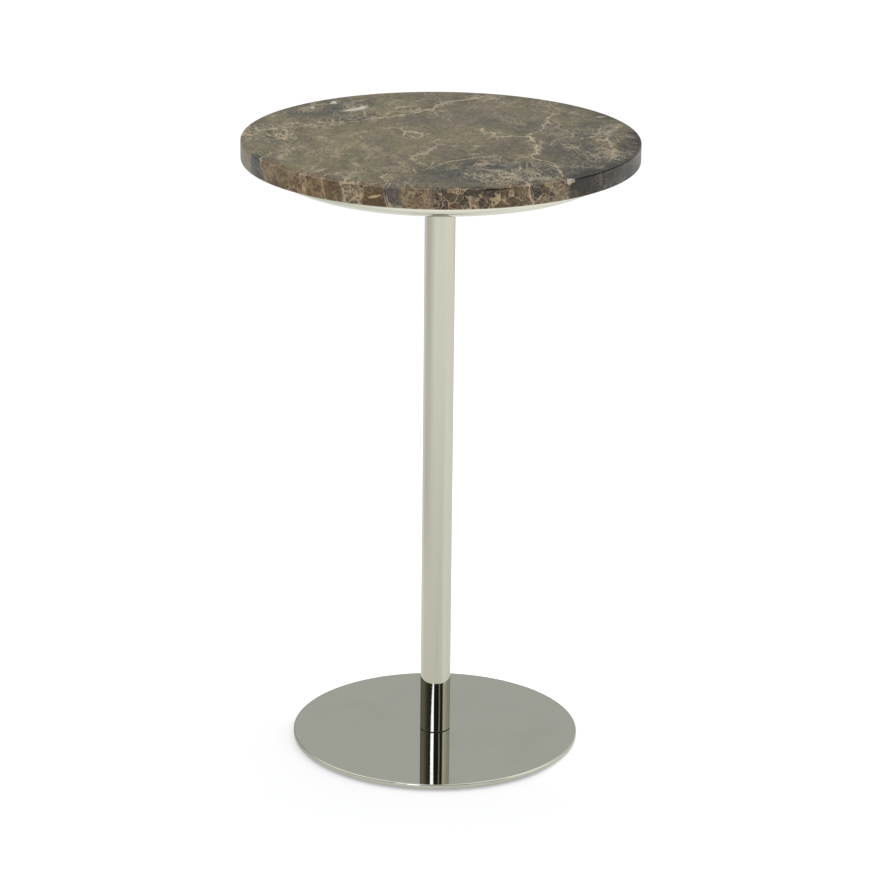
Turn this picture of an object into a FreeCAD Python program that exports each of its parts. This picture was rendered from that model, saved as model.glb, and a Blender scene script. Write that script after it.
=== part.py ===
import FreeCAD, Part
import math
import os

# Side table: a round stone top on a shallow metal dish, one tube as the column, a thin round foot plate.
# Millimetres, +Z up, origin on the floor at the centre of the foot.

# Felt pads under the foot plate
PAD_DIAMETER = 24.0
PAD_THICKNESS = 2.0
PAD_COUNT = 6
PAD_EDGE_MARGIN = 6.0

# Foot plate
BASE_DIAMETER = 302.0
BASE_THICKNESS = 5.0
BASE_EDGE_RADIUS = 1.2
BASE_SCREW_LAND = 1.0

# Gasket between foot plate and column
GASKET_THICKNESS = 0.5
GASKET_INSET = 0.8

# Column tube and the tapped plugs pressed into its ends
COLUMN_DIAMETER = 31.75
COLUMN_WALL = 2.0
COLUMN_LENGTH = 608.0
COLUMN_END_CHAMFER = 0.4
PLUG_LENGTH = 30.0
PLUG_CHAMFER = 1.0

# Bolts on the column's axis
AXIS_BOLT_DIAMETER = 8.0
AXIS_BOLT_ENGAGEMENT = 20.0
AXIS_BOLT_HEAD_FLATS = 13.0
AXIS_BOLT_HEAD_HEIGHT = 5.3
TAPPED_HOLE_SPARE_DEPTH = 4.0
LOCK_WASHER_DIAMETER = 14.8
LOCK_WASHER_THICKNESS = 2.0
BASE_SCREW_SOCKET_FLATS = 5.0
BASE_SCREW_SOCKET_DEPTH = 2.6

# Spun dish below the stone: straight rim, tight knuckle, wide shoulder, flat bottom
DISH_DIAMETER = 348.0
DISH_WALL = 1.2
DISH_KNUCKLE_RADIUS = 5.0
DISH_SHOULDER_RADIUS = 25.0
DISH_KNUCKLE_SWEEP_DEG = 51.0
DISH_RIM_GAP = 0.3

# Steel plate in the dish
PLATE_THICKNESS = 5.0
PLATE_EDGE_MARGIN = 15.0

# Plywood core in the dish
CORE_THICKNESS = 16.0
CORE_SIDE_CLEARANCE = 2.0
CORE_FOOT_CLEARANCE = 2.0
CORE_PLATE_CLEARANCE = 0.5
CORE_BOLT_CLEARANCE = 4.0

# Screws from beneath that hold the top, with washers and threaded inserts
FIXING_COUNT = 4
FIXING_CIRCLE_RADIUS = 45.0
FIXING_FIRST_TURN_DEG = 45.0
FIXING_DIAMETER = 6.0
FIXING_HEAD_DIAMETER = 10.5
FIXING_HEAD_HEIGHT = 3.3
FIXING_HEAD_EDGE_RADIUS = 2.2
FIXING_SOCKET_FLATS = 4.0
FIXING_SOCKET_DEPTH = 2.0
FIXING_TIP_GAP = 1.0
WASHER_DIAMETER = 13.0
WASHER_THICKNESS = 1.2
INSERT_WALL = 2.0
INSERT_COVER = 1.7

# Adhesive dabs between core and stone
DAB_DIAMETER = 36.0
DAB_THICKNESS = 1.5
DAB_EDGE_MARGIN = 14.0
DAB_INNER_OFFSET = 26.0
DAB_OUTER_COUNT = 8
DAB_INNER_COUNT = 4

# Stone top
STONE_DIAMETER = 406.0
STONE_THICKNESS = 20.0
STONE_TOP_EDGE_RADIUS = 1.6
STONE_LOWER_EDGE_RADIUS = 1.0

# Radial room around a screw in a plain hole
SCREW_CLEARANCE = 0.4

# Heights of the stack, from the floor up
BASE_BOTTOM = PAD_THICKNESS
BASE_TOP = BASE_BOTTOM + BASE_THICKNESS
COLUMN_BOTTOM = BASE_TOP + GASKET_THICKNESS
COLUMN_TOP = COLUMN_BOTTOM + COLUMN_LENGTH
DISH_BOTTOM = COLUMN_TOP
DISH_FLOOR = DISH_BOTTOM + DISH_WALL
PLATE_TOP = DISH_FLOOR + PLATE_THICKNESS
CORE_RECESS_TOP = PLATE_TOP + CORE_PLATE_CLEARANCE
CORE_TOP = DISH_FLOOR + CORE_THICKNESS
STONE_BOTTOM = CORE_TOP + DAB_THICKNESS
STONE_TOP = STONE_BOTTOM + STONE_THICKNESS
DISH_RIM = STONE_BOTTOM - DISH_RIM_GAP

# Radii that follow from the sizes above
COLUMN_BORE_RADIUS = COLUMN_DIAMETER / 2 - COLUMN_WALL
AXIS_BOLT_RADIUS = AXIS_BOLT_DIAMETER / 2
AXIS_HOLE_RADIUS = AXIS_BOLT_RADIUS + SCREW_CLEARANCE
FIXING_RADIUS = FIXING_DIAMETER / 2
FIXING_HOLE_RADIUS = FIXING_RADIUS + SCREW_CLEARANCE
INSERT_RADIUS = FIXING_RADIUS + INSERT_WALL
INSERT_TOP = CORE_TOP - INSERT_COVER
PLATE_RADIUS = FIXING_CIRCLE_RADIUS + PLATE_EDGE_MARGIN
PLUG_HOLE_DEPTH = AXIS_BOLT_ENGAGEMENT + TAPPED_HOLE_SPARE_DEPTH
BASE_SCREW_HEAD_HEIGHT = BASE_THICKNESS - BASE_SCREW_LAND
BASE_SCREW_HEAD_RADIUS = AXIS_BOLT_RADIUS + BASE_SCREW_HEAD_HEIGHT

# Centres of the two arcs in the dish's lower edge, as radius and height
KNUCKLE_SWEEP = math.radians(DISH_KNUCKLE_SWEEP_DEG)
ARC_STEP = DISH_SHOULDER_RADIUS - DISH_KNUCKLE_RADIUS
KNUCKLE_CENTRE_R = DISH_DIAMETER / 2 - DISH_KNUCKLE_RADIUS
SHOULDER_CENTRE_R = KNUCKLE_CENTRE_R - ARC_STEP * math.cos(KNUCKLE_SWEEP)
SHOULDER_CENTRE_Z = DISH_BOTTOM + DISH_SHOULDER_RADIUS
KNUCKLE_CENTRE_Z = SHOULDER_CENTRE_Z - ARC_STEP * math.sin(KNUCKLE_SWEEP)
CORE_RADIUS = DISH_DIAMETER / 2 - DISH_WALL - CORE_SIDE_CLEARANCE
DAB_OUTER_RING = CORE_RADIUS - DAB_EDGE_MARGIN - DAB_DIAMETER / 2
DAB_INNER_RING = FIXING_CIRCLE_RADIUS + DAB_INNER_OFFSET

# Heights closer than this are the same height
SAME_HEIGHT = 1e-6

AXIS = FreeCAD.Vector(0, 0, 1)
ORIGIN = FreeCAD.Vector(0, 0, 0)


def at(radius, height):
    """A point of a turned profile, in the plane through +X and +Z."""
    return FreeCAD.Vector(radius, 0, height)


def disc(radius, bottom, top):
    """A solid cylinder on the Z axis between two heights."""
    return Part.makeCylinder(radius, top - bottom, FreeCAD.Vector(0, 0, bottom), AXIS)


def ring(inner_radius, outer_radius, bottom, top):
    """A flat ring on the Z axis between two heights."""
    return disc(outer_radius, bottom, top).cut(disc(inner_radius, bottom, top))


def turned(edges):
    """A solid of revolution about the Z axis from the edges of a closed profile."""
    face = Part.Face(Part.Wire(edges))
    return Part.Solid(face.revolve(ORIGIN, AXIS, 360).Solids[0])


def outline(points):
    """Straight edges through points, closed back to the first."""
    following = points[1:] + points[:1]
    return [Part.LineSegment(a, b).toShape() for a, b in zip(points, following)]


def cone(lower_radius, upper_radius, bottom, top):
    """A truncated cone on the Z axis between two heights."""
    return Part.makeCone(lower_radius, upper_radius, top - bottom, FreeCAD.Vector(0, 0, bottom), AXIS)


def hexagon(flats, bottom, top):
    """A hexagonal prism on the Z axis, sized across its flats."""
    corner = flats / math.sqrt(3)
    turns = [math.radians(60 * k) for k in range(6)]
    points = [FreeCAD.Vector(corner * math.cos(t), corner * math.sin(t), bottom) for t in turns]
    face = Part.Face(Part.makePolygon(points + points[:1]))
    return face.extrude(FreeCAD.Vector(0, 0, top - bottom))


def around(shape, count, ring_radius, first_turn_deg=0.0):
    """Copies of a shape on the Z axis, moved out to a ring and spaced evenly round it."""
    copies = []
    for k in range(count):
        turn = math.radians(first_turn_deg + 360.0 * k / count)
        copy = shape.copy()
        copy.translate(FreeCAD.Vector(ring_radius * math.cos(turn), ring_radius * math.sin(turn), 0))
        copies.append(copy)
    return copies


def eased(shape, height, radius):
    """Rounds the outermost circular edge of a disc at one height."""
    def is_level(edge):
        box = edge.BoundBox
        return abs(box.ZMax - height) < SAME_HEIGHT and box.ZLength < SAME_HEIGHT
    level_edges = [edge for edge in shape.Edges if is_level(edge)]
    outermost = max(level_edges, key=lambda edge: edge.BoundBox.XLength)
    return shape.makeFillet(radius, [outermost])


def fixing_holes(bottom, top, radius):
    """Round holes for the screws that hold the top."""
    return around(disc(radius, bottom, top), FIXING_COUNT, FIXING_CIRCLE_RADIUS, FIXING_FIRST_TURN_DEG)


def felt_pads():
    """The pads that the table stands on."""
    pad = disc(PAD_DIAMETER / 2, 0, PAD_THICKNESS)
    return around(pad, PAD_COUNT, BASE_DIAMETER / 2 - PAD_EDGE_MARGIN - PAD_DIAMETER / 2)


def base_plate():
    """The foot: a thin disc with eased edges and one countersunk hole from beneath."""
    plate = disc(BASE_DIAMETER / 2, BASE_BOTTOM, BASE_TOP)
    plate = eased(plate, BASE_TOP, BASE_EDGE_RADIUS)
    plate = eased(plate, BASE_BOTTOM, BASE_EDGE_RADIUS)
    hole = disc(AXIS_HOLE_RADIUS, BASE_BOTTOM, BASE_TOP)
    seat_top = BASE_BOTTOM + BASE_SCREW_HEAD_HEIGHT
    seat = cone(BASE_SCREW_HEAD_RADIUS, AXIS_BOLT_RADIUS, BASE_BOTTOM, seat_top)
    return plate.cut(hole).cut(seat)


def base_screw():
    """Countersunk screw with a hexagon socket, up into the lower plug."""
    head_top = BASE_BOTTOM + BASE_SCREW_HEAD_HEIGHT
    head = cone(BASE_SCREW_HEAD_RADIUS, AXIS_BOLT_RADIUS, BASE_BOTTOM, head_top)
    shank = disc(AXIS_BOLT_RADIUS, head_top, COLUMN_BOTTOM + AXIS_BOLT_ENGAGEMENT)
    socket = hexagon(BASE_SCREW_SOCKET_FLATS, BASE_BOTTOM, BASE_BOTTOM + BASE_SCREW_SOCKET_DEPTH)
    return head.fuse(shank).removeSplitter().cut(socket)


def column_gasket():
    """Thin ring between the foot plate and the column's end, set in from the tube's outside."""
    return ring(AXIS_HOLE_RADIUS, COLUMN_DIAMETER / 2 - GASKET_INSET, BASE_TOP, COLUMN_BOTTOM)


def column_tube():
    """The column, with its outer arrises broken at both ends."""
    outer = COLUMN_DIAMETER / 2
    chamfer = COLUMN_END_CHAMFER
    profile = [
        at(COLUMN_BORE_RADIUS, COLUMN_BOTTOM),
        at(outer - chamfer, COLUMN_BOTTOM),
        at(outer, COLUMN_BOTTOM + chamfer),
        at(outer, COLUMN_TOP - chamfer),
        at(outer - chamfer, COLUMN_TOP),
        at(COLUMN_BORE_RADIUS, COLUMN_TOP),
    ]
    return turned(outline(profile))


def column_plug(end, inward):
    """A tapped plug in one end of the tube. inward is +1 above the end and -1 below it."""
    hole_end = end + inward * PLUG_HOLE_DEPTH
    far_end = end + inward * PLUG_LENGTH
    profile = [
        at(AXIS_BOLT_RADIUS, end),
        at(COLUMN_BORE_RADIUS, end),
        at(COLUMN_BORE_RADIUS, far_end - inward * PLUG_CHAMFER),
        at(COLUMN_BORE_RADIUS - PLUG_CHAMFER, far_end),
        at(0, far_end),
        at(0, hole_end),
        at(AXIS_BOLT_RADIUS, hole_end),
    ]
    return turned(outline(profile))


def dish_arc(centre_r, centre_z, radius, first, last):
    """An arc of the dish's lower edge. Angles count down from level."""
    def on_arc(angle):
        return at(centre_r + radius * math.cos(angle), centre_z - radius * math.sin(angle))
    return Part.Arc(on_arc(first), on_arc((first + last) / 2), on_arc(last)).toShape()


def dish_skin(offset):
    """Edges of one skin of the dish, from its rim down and in to the hole, set in by an offset."""
    rim_radius = DISH_DIAMETER / 2 - offset
    bottom = DISH_BOTTOM + offset
    knuckle = DISH_KNUCKLE_RADIUS - offset
    shoulder = DISH_SHOULDER_RADIUS - offset
    rim = Part.LineSegment(at(rim_radius, DISH_RIM), at(rim_radius, KNUCKLE_CENTRE_Z)).toShape()
    tight = dish_arc(KNUCKLE_CENTRE_R, KNUCKLE_CENTRE_Z, knuckle, 0, KNUCKLE_SWEEP)
    wide = dish_arc(SHOULDER_CENTRE_R, SHOULDER_CENTRE_Z, shoulder, KNUCKLE_SWEEP, math.pi / 2)
    flat = Part.LineSegment(at(SHOULDER_CENTRE_R, bottom), at(AXIS_HOLE_RADIUS, bottom)).toShape()
    return [rim, tight, wide, flat]


def under_dish():
    """The spun dish, with holes for the axis bolt and the fixing screws."""
    outer = dish_skin(0)
    inner = dish_skin(DISH_WALL)
    lip = Part.LineSegment(at(DISH_DIAMETER / 2, DISH_RIM), at(DISH_DIAMETER / 2 - DISH_WALL, DISH_RIM))
    hole = Part.LineSegment(at(AXIS_HOLE_RADIUS, DISH_BOTTOM), at(AXIS_HOLE_RADIUS, DISH_FLOOR))
    dish = turned(Part.__sortEdges__(outer + inner + [lip.toShape(), hole.toShape()]))
    return dish.cut(fixing_holes(DISH_BOTTOM, DISH_FLOOR, FIXING_HOLE_RADIUS))


def mounting_plate():
    """Steel plate on the dish's floor, clamped to the column by the axis bolt."""
    plate = ring(AXIS_HOLE_RADIUS, PLATE_RADIUS, DISH_FLOOR, PLATE_TOP)
    return plate.cut(fixing_holes(DISH_FLOOR, PLATE_TOP, FIXING_HOLE_RADIUS))


def bolt_washer():
    """Spring washer under the axis bolt's head."""
    return ring(AXIS_HOLE_RADIUS, LOCK_WASHER_DIAMETER / 2, PLATE_TOP, PLATE_TOP + LOCK_WASHER_THICKNESS)


def column_bolt():
    """Hexagon bolt from above, through plate and dish into the upper plug."""
    seat = PLATE_TOP + LOCK_WASHER_THICKNESS
    head = hexagon(AXIS_BOLT_HEAD_FLATS, seat, seat + AXIS_BOLT_HEAD_HEIGHT)
    shank = disc(AXIS_BOLT_RADIUS, COLUMN_TOP - AXIS_BOLT_ENGAGEMENT, seat)
    return head.fuse(shank).removeSplitter()


def core_disc():
    """Plywood disc shaped to the dish, hollowed for the plate, the bolt's head and the inserts."""
    foot_radius = SHOULDER_CENTRE_R - CORE_FOOT_CLEARANCE
    profile = [
        at(0, DISH_FLOOR),
        at(foot_radius, DISH_FLOOR),
        at(CORE_RADIUS, KNUCKLE_CENTRE_Z),
        at(CORE_RADIUS, CORE_TOP),
        at(0, CORE_TOP),
    ]
    core = turned(outline(profile))
    plate_recess = disc(PLATE_RADIUS + CORE_PLATE_CLEARANCE, DISH_FLOOR, CORE_RECESS_TOP)
    bolt_room = disc(AXIS_BOLT_HEAD_FLATS / math.sqrt(3) + CORE_BOLT_CLEARANCE, CORE_RECESS_TOP, CORE_TOP)
    insert_holes = fixing_holes(CORE_RECESS_TOP, INSERT_TOP, INSERT_RADIUS)
    return core.cut(plate_recess).cut(bolt_room).cut(insert_holes)


def core_inserts():
    """Threaded inserts in the core, one above each fixing screw."""
    insert = ring(FIXING_RADIUS, INSERT_RADIUS, CORE_RECESS_TOP, INSERT_TOP)
    return around(insert, FIXING_COUNT, FIXING_CIRCLE_RADIUS, FIXING_FIRST_TURN_DEG)


def fixing_washers():
    """Flat washers against the underside of the dish."""
    washer = ring(FIXING_HOLE_RADIUS, WASHER_DIAMETER / 2, DISH_BOTTOM - WASHER_THICKNESS, DISH_BOTTOM)
    return around(washer, FIXING_COUNT, FIXING_CIRCLE_RADIUS, FIXING_FIRST_TURN_DEG)


def fixing_screws():
    """Button-head screws from beneath, through dish and plate into the inserts."""
    seat = DISH_BOTTOM - WASHER_THICKNESS
    head_bottom = seat - FIXING_HEAD_HEIGHT
    head = eased(disc(FIXING_HEAD_DIAMETER / 2, head_bottom, seat), head_bottom, FIXING_HEAD_EDGE_RADIUS)
    socket = hexagon(FIXING_SOCKET_FLATS, head_bottom, head_bottom + FIXING_SOCKET_DEPTH)
    shank = disc(FIXING_RADIUS, seat, INSERT_TOP - FIXING_TIP_GAP)
    screw = head.fuse(shank).removeSplitter().cut(socket)
    return around(screw, FIXING_COUNT, FIXING_CIRCLE_RADIUS, FIXING_FIRST_TURN_DEG)


def adhesive_dabs():
    """Two rings of adhesive dabs between the core and the stone."""
    dab = disc(DAB_DIAMETER / 2, CORE_TOP, STONE_BOTTOM)
    outer = around(dab, DAB_OUTER_COUNT, DAB_OUTER_RING)
    inner = around(dab, DAB_INNER_COUNT, DAB_INNER_RING, FIXING_FIRST_TURN_DEG)
    return outer + inner


def marble_top():
    """The stone disc with eased edges."""
    slab = disc(STONE_DIAMETER / 2, STONE_BOTTOM, STONE_TOP)
    slab = eased(slab, STONE_TOP, STONE_TOP_EDGE_RADIUS)
    return eased(slab, STONE_BOTTOM, STONE_LOWER_EDGE_RADIUS)


def nodes():
    """Every piece of the table by name."""
    pieces = {
        "marble_top": marble_top(),
        "adhesive_dabs": Part.makeCompound(adhesive_dabs()),
        "core_disc": core_disc(),
        "core_inserts": Part.makeCompound(core_inserts()),
        "under_dish": under_dish(),
        "mounting_plate": mounting_plate(),
        "column_bolt": column_bolt(),
        "bolt_washer": bolt_washer(),
        "fixing_screws": Part.makeCompound(fixing_screws()),
        "fixing_washers": Part.makeCompound(fixing_washers()),
        "column_tube": column_tube(),
        "upper_plug": column_plug(COLUMN_TOP, -1),
        "lower_plug": column_plug(COLUMN_BOTTOM, 1),
        "column_gasket": column_gasket(),
        "base_plate": base_plate(),
        "base_screw": base_screw(),
    }
    for number, pad in enumerate(felt_pads(), start=1):
        pieces[f"felt_pad_{number}"] = pad
    return pieces


def main():
    """Writes one STEP file per piece."""
    os.makedirs("parts", exist_ok=True)
    for name, shape in nodes().items():
        shape.exportStep(f"parts/{name}.step")
        low, high = shape.BoundBox.ZMin, shape.BoundBox.ZMax
        print(f"{name}: {len(shape.Solids)} solids, {shape.Volume:.1f} mm3, z {low:.2f} to {high:.2f}")


main()
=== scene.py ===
"""Looks of a round pedestal side table: brown marble top, polished nickel dish, column and foot plate."""

import logging
import math
from dataclasses import dataclass, field, replace
from enum import Enum
from typing import Any, Dict, List, Optional, Sequence, Tuple, Union

import bmesh
import bpy
from mathutils import Matrix, Vector


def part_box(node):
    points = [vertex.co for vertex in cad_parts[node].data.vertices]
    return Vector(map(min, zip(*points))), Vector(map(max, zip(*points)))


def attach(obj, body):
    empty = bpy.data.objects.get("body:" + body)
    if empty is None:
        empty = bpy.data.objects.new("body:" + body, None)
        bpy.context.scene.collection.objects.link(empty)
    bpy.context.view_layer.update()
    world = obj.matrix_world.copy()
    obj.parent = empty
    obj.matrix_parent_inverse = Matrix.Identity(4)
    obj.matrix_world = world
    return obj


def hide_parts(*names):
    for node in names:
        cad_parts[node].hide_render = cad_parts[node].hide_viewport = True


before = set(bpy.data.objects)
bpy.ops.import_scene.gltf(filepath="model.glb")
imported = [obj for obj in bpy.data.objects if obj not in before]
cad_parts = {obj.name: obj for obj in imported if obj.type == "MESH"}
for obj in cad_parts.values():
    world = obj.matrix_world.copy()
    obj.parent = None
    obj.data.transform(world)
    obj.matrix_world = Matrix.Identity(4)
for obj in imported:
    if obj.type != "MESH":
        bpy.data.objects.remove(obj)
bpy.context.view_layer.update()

LOG = logging.getLogger("side_table")
BODY = "root"
MILLIMETRE = 0.001
DEGREES_PER_RADIAN = 180.0 / math.pi
HALF_TURN_DEG = 180.0
FULL_TURN_DEG = 360.0
LEVEL_PLANE = (1.0, 1.0, 0.0)
BLACK = (0.0, 0.0, 0.0)
WHITE = (1.0, 1.0, 1.0)

# How close a straight run of an outline is held flat to its corners, in metres
PLAIN_HOLD = 0.0002
FINE_HOLD = 0.0001
THIN_HOLD = 0.00005

# Distances for joining points and dropping slivers, in metres, and the angle that keeps a corner hard
JOIN_DISTANCE = 1e-7
SLIVER_LENGTH = 1e-8
HARD_CORNER_DEG = 32.0

Colour = Tuple[float, float, float]
Triple = Tuple[float, float, float]
Point = Tuple[float, float]
Operand = Union["Field", float, int, Sequence[float]]
Settings = Dict[str, Any]
Inputs = Dict[Union[int, str], Any]


class Field:
    """An output socket of a node tree that can stand in Python expressions."""

    def __init__(self, graph: "Graph", socket: bpy.types.NodeSocket) -> None:
        """Keeps the tree's graph and the socket."""
        self.graph = graph
        self.socket = socket

    @property
    def is_vector(self) -> bool:
        """Whether the socket carries three numbers."""
        return self.socket.type in {"VECTOR", "RGBA", "ROTATION"}

    def _maths(self, operation: str, *operands: Operand) -> "Field":
        """Adds one Math node, or one Vector Math node where an operand is a vector.

        Args:
            operation: the node's operation.
            operands: values or fields, in the order of the node's sockets.

        Returns:
            The node's result.
        """
        vector = any(isinstance(x, Field) and x.is_vector for x in operands)
        kind = "ShaderNodeVectorMath" if vector else "ShaderNodeMath"
        return self.graph.field(kind, {"operation": operation}, dict(enumerate(operands)))

    def __add__(self, other: Operand) -> "Field":
        """self + other."""
        return self._maths("ADD", self, other)

    def __radd__(self, other: Operand) -> "Field":
        """other + self."""
        return self._maths("ADD", other, self)

    def __sub__(self, other: Operand) -> "Field":
        """self - other."""
        return self._maths("SUBTRACT", self, other)

    def __rsub__(self, other: Operand) -> "Field":
        """other - self."""
        return self._maths("SUBTRACT", other, self)

    def __mul__(self, other: Operand) -> "Field":
        """self * other; a vector times a value is scaled.

        Args:
            other: a value, a vector or a field.

        Returns:
            The product.
        """
        other_is_vector = isinstance(other, Field) and other.is_vector
        if self.is_vector and not other_is_vector and not isinstance(other, (tuple, list)):
            inputs = {0: self, "Scale": other}
            return self.graph.field("ShaderNodeVectorMath", {"operation": "SCALE"}, inputs)
        return self._maths("MULTIPLY", self, other)

    def __rmul__(self, other: Operand) -> "Field":
        """other * self."""
        return self * other

    def __truediv__(self, other: Operand) -> "Field":
        """self / other."""
        return self._maths("DIVIDE", self, other)

    def __rtruediv__(self, other: Operand) -> "Field":
        """other / self."""
        return self._maths("DIVIDE", other, self)

    def __abs__(self) -> "Field":
        """The size of a value, without its sign."""
        return self._maths("ABSOLUTE", self)

    def at_least(self, other: Operand) -> "Field":
        """The larger of two values."""
        return self._maths("MAXIMUM", self, other)

    def at_most(self, other: Operand) -> "Field":
        """The smaller of two values."""
        return self._maths("MINIMUM", self, other)

    def rounded(self) -> "Field":
        """The nearest whole number."""
        return self._maths("ROUND", self)

    def sine(self) -> "Field":
        """The sine of an angle in radians."""
        return self._maths("SINE", self)

    def cosine(self) -> "Field":
        """The cosine of an angle in radians."""
        return self._maths("COSINE", self)

    def arcsine(self) -> "Field":
        """The angle, in radians, that has this sine."""
        return self._maths("ARCSINE", self)

    def dot(self, direction: Sequence[float]) -> "Field":
        """How far a vector reaches along a fixed direction."""
        inputs = {0: self, 1: direction}
        return self.graph.field("ShaderNodeVectorMath", {"operation": "DOT_PRODUCT"}, inputs, "Value")

    def length(self) -> "Field":
        """A vector's length."""
        return self.graph.field("ShaderNodeVectorMath", {"operation": "LENGTH"}, {0: self}, "Value")

    def part(self, axis: str) -> "Field":
        """One of a vector's parts, X, Y or Z."""
        return self.graph.field("ShaderNodeSeparateXYZ", {}, {0: self}, axis)

    def rise(self, low: Operand, high: Operand) -> "Field":
        """0 below low, 1 above high and smooth between them."""
        inputs = {"Value": self, "From Min": low, "From Max": high}
        return self.graph.field("ShaderNodeMapRange", {"interpolation_type": "SMOOTHSTEP"}, inputs)

    def fall(self, low: Operand, high: Operand) -> "Field":
        """1 below low, 0 above high and smooth between them."""
        return 1.0 - self.rise(low, high)

    def band(self, low: float, high: float, soft: float) -> "Field":
        """1 between low and high and 0 outside, with soft edges."""
        return self.rise(low - soft, low + soft) * self.fall(high - soft, high + soft)


class Graph:
    """Adds nodes to one shader or geometry tree."""

    def __init__(self, tree: bpy.types.NodeTree) -> None:
        """Keeps the tree."""
        self.tree = tree

    def node(self, kind: str, settings: Settings, inputs: Inputs) -> bpy.types.Node:
        """Adds one node.

        Args:
            kind: the node's type.
            settings: its properties, set first. "stops" fills a colour ramp and "points" a float curve.
            inputs: values or fields by socket index, identifier or name.

        Returns:
            The new node.
        """
        made = self.tree.nodes.new(kind)
        for name, value in settings.items():
            if name == "stops":
                self._fill_ramp(made.color_ramp, value)
            elif name == "points":
                self._fill_curve(made.mapping, value)
            else:
                setattr(made, name, value)
        for key, value in inputs.items():
            socket = self._socket(made.inputs, key)
            if isinstance(value, Field):
                self.tree.links.new(value.socket, socket)
            else:
                socket.default_value = value
        return made

    def field(self, kind: str, settings: Settings, inputs: Inputs, output: Union[int, str] = 0) -> Field:
        """Adds one node and wraps one of its outputs.

        Args:
            kind: the node's type.
            settings: its properties, as for node.
            inputs: values or fields, as for node.
            output: the output's index, identifier or name.

        Returns:
            The output as a field.
        """
        return Field(self, self._socket(self.node(kind, settings, inputs).outputs, output))

    @staticmethod
    def _socket(sockets: Any, key: Union[int, str]) -> bpy.types.NodeSocket:
        """Finds a socket.

        Args:
            sockets: a node's inputs or outputs.
            key: the socket's index, or its identifier or else its name.

        Returns:
            The socket.
        """
        if isinstance(key, int):
            return sockets[key]
        return next((s for s in sockets if s.identifier == key), None) or sockets[key]

    @staticmethod
    def _fill_ramp(ramp: bpy.types.ColorRamp, stops: Sequence[Tuple[float, Colour]]) -> None:
        """Sets a colour ramp's stops.

        Args:
            ramp: the ramp.
            stops: positions from 0 to 1 with their colours, in order.
        """
        while len(ramp.elements) < len(stops):
            ramp.elements.new(1.0)
        for element, (position, colour) in zip(ramp.elements, stops):
            element.position = position
            element.color = (*colour, 1.0)

    @staticmethod
    def _fill_curve(mapping: bpy.types.CurveMapping, points: Sequence[Point]) -> None:
        """Sets a float curve's points.

        Args:
            mapping: the curve's mapping.
            points: all points in order, first and last included.
        """
        curve = mapping.curves[0]
        while len(curve.points) < len(points):
            curve.points.new(0.5, 0.5)
        for slot, place in zip(curve.points, points):
            slot.location = place
        mapping.update()

    def coordinates(self) -> Field:
        """Places on the piece in its own frame, in metres."""
        return self.field("ShaderNodeTexCoord", {}, {}, "Object")

    def bearing(self, place: Field) -> Field:
        """Degrees right of the front, seen from above the Z axis."""
        parts = {0: place.part("X"), 1: place.part("Y") * -1.0}
        return self.field("ShaderNodeMath", {"operation": "ARCTAN2"}, parts) * DEGREES_PER_RADIAN

    def turned(self, place: Field, turn_deg: float) -> Field:
        """Places turned about the Z axis."""
        inputs = {"Vector": place, "Angle": math.radians(turn_deg)}
        return self.field("ShaderNodeVectorRotate", {"rotation_type": "Z_AXIS"}, inputs)

    def oval(self, place: Field, centre: Sequence[float], radii: Sequence[float], turn_deg: Triple) -> Field:
        """How far places are from the middle of an oval body, where its surface is at 1.

        Args:
            place: where it is read, in metres.
            centre: the middle, in millimetres.
            radii: half its size along its three axes, in millimetres.
            turn_deg: its turns about X, Y and Z.

        Returns:
            The distance, as a share of the oval's own radius in that direction.
        """
        inputs = {
            "Vector": place,
            "Location": [v * MILLIMETRE for v in centre],
            "Rotation": [math.radians(v) for v in turn_deg],
            "Scale": [v * MILLIMETRE for v in radii],
        }
        return self.field("ShaderNodeMapping", {"vector_type": "TEXTURE"}, inputs).length()

    def noise(self, place: Field, scale: float, detail: float = 2.0, roughness: float = 0.5) -> Field:
        """Smooth noise from 0 to 1; scale is in waves per metre."""
        inputs = {"Vector": place, "Scale": scale, "Detail": detail, "Roughness": roughness}
        return self.field("ShaderNodeTexNoise", {}, inputs, "Fac")

    def cells(self, place: Field, scale: float, output: str = "Distance", feature: str = "F1") -> Field:
        """A cell pattern; scale is in cells per metre."""
        inputs = {"Vector": place, "Scale": scale}
        return self.field("ShaderNodeTexVoronoi", {"feature": feature}, inputs, output)

    def mix(self, share: Operand, first: Operand, second: Operand) -> Field:
        """The first colour where share is 0 and the second where it is 1."""
        inputs = {"Factor_Float": share, "A_Color": self._rgba(first), "B_Color": self._rgba(second)}
        return self.field("ShaderNodeMix", {"data_type": "RGBA"}, inputs, "Result_Color")

    @staticmethod
    def _rgba(colour: Operand) -> Operand:
        """A plain colour with its alpha; a field is left as it is."""
        return colour if isinstance(colour, Field) else (*colour, 1.0)

    def bump(self, height: Field, distance: float) -> Field:
        """A normal from a height from 0 to 1, that stands distance metres high."""
        return self.field("ShaderNodeBump", {}, {"Height": height, "Distance": distance, "Strength": 1.0})


@dataclass(frozen=True)
class Growth:
    """A level that changes with a share: what it is at 0, and what a whole share adds."""

    level: float
    gain: float

    def of(self, share: Field) -> Field:
        """The level at each place."""
        return self.level + share * self.gain


@dataclass(frozen=True)
class Clouds:
    """A soft cloud pattern: waves per metre, octaves, roughness, and the levels between which it rises."""

    scale: float
    detail: float
    roughness: float
    low: float
    high: float

    def share(self, graph: Graph, place: Field) -> Field:
        """The clouds' share at each place, from 0 to 1."""
        return graph.noise(place, self.scale, self.detail, self.roughness).rise(self.low, self.high)


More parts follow.
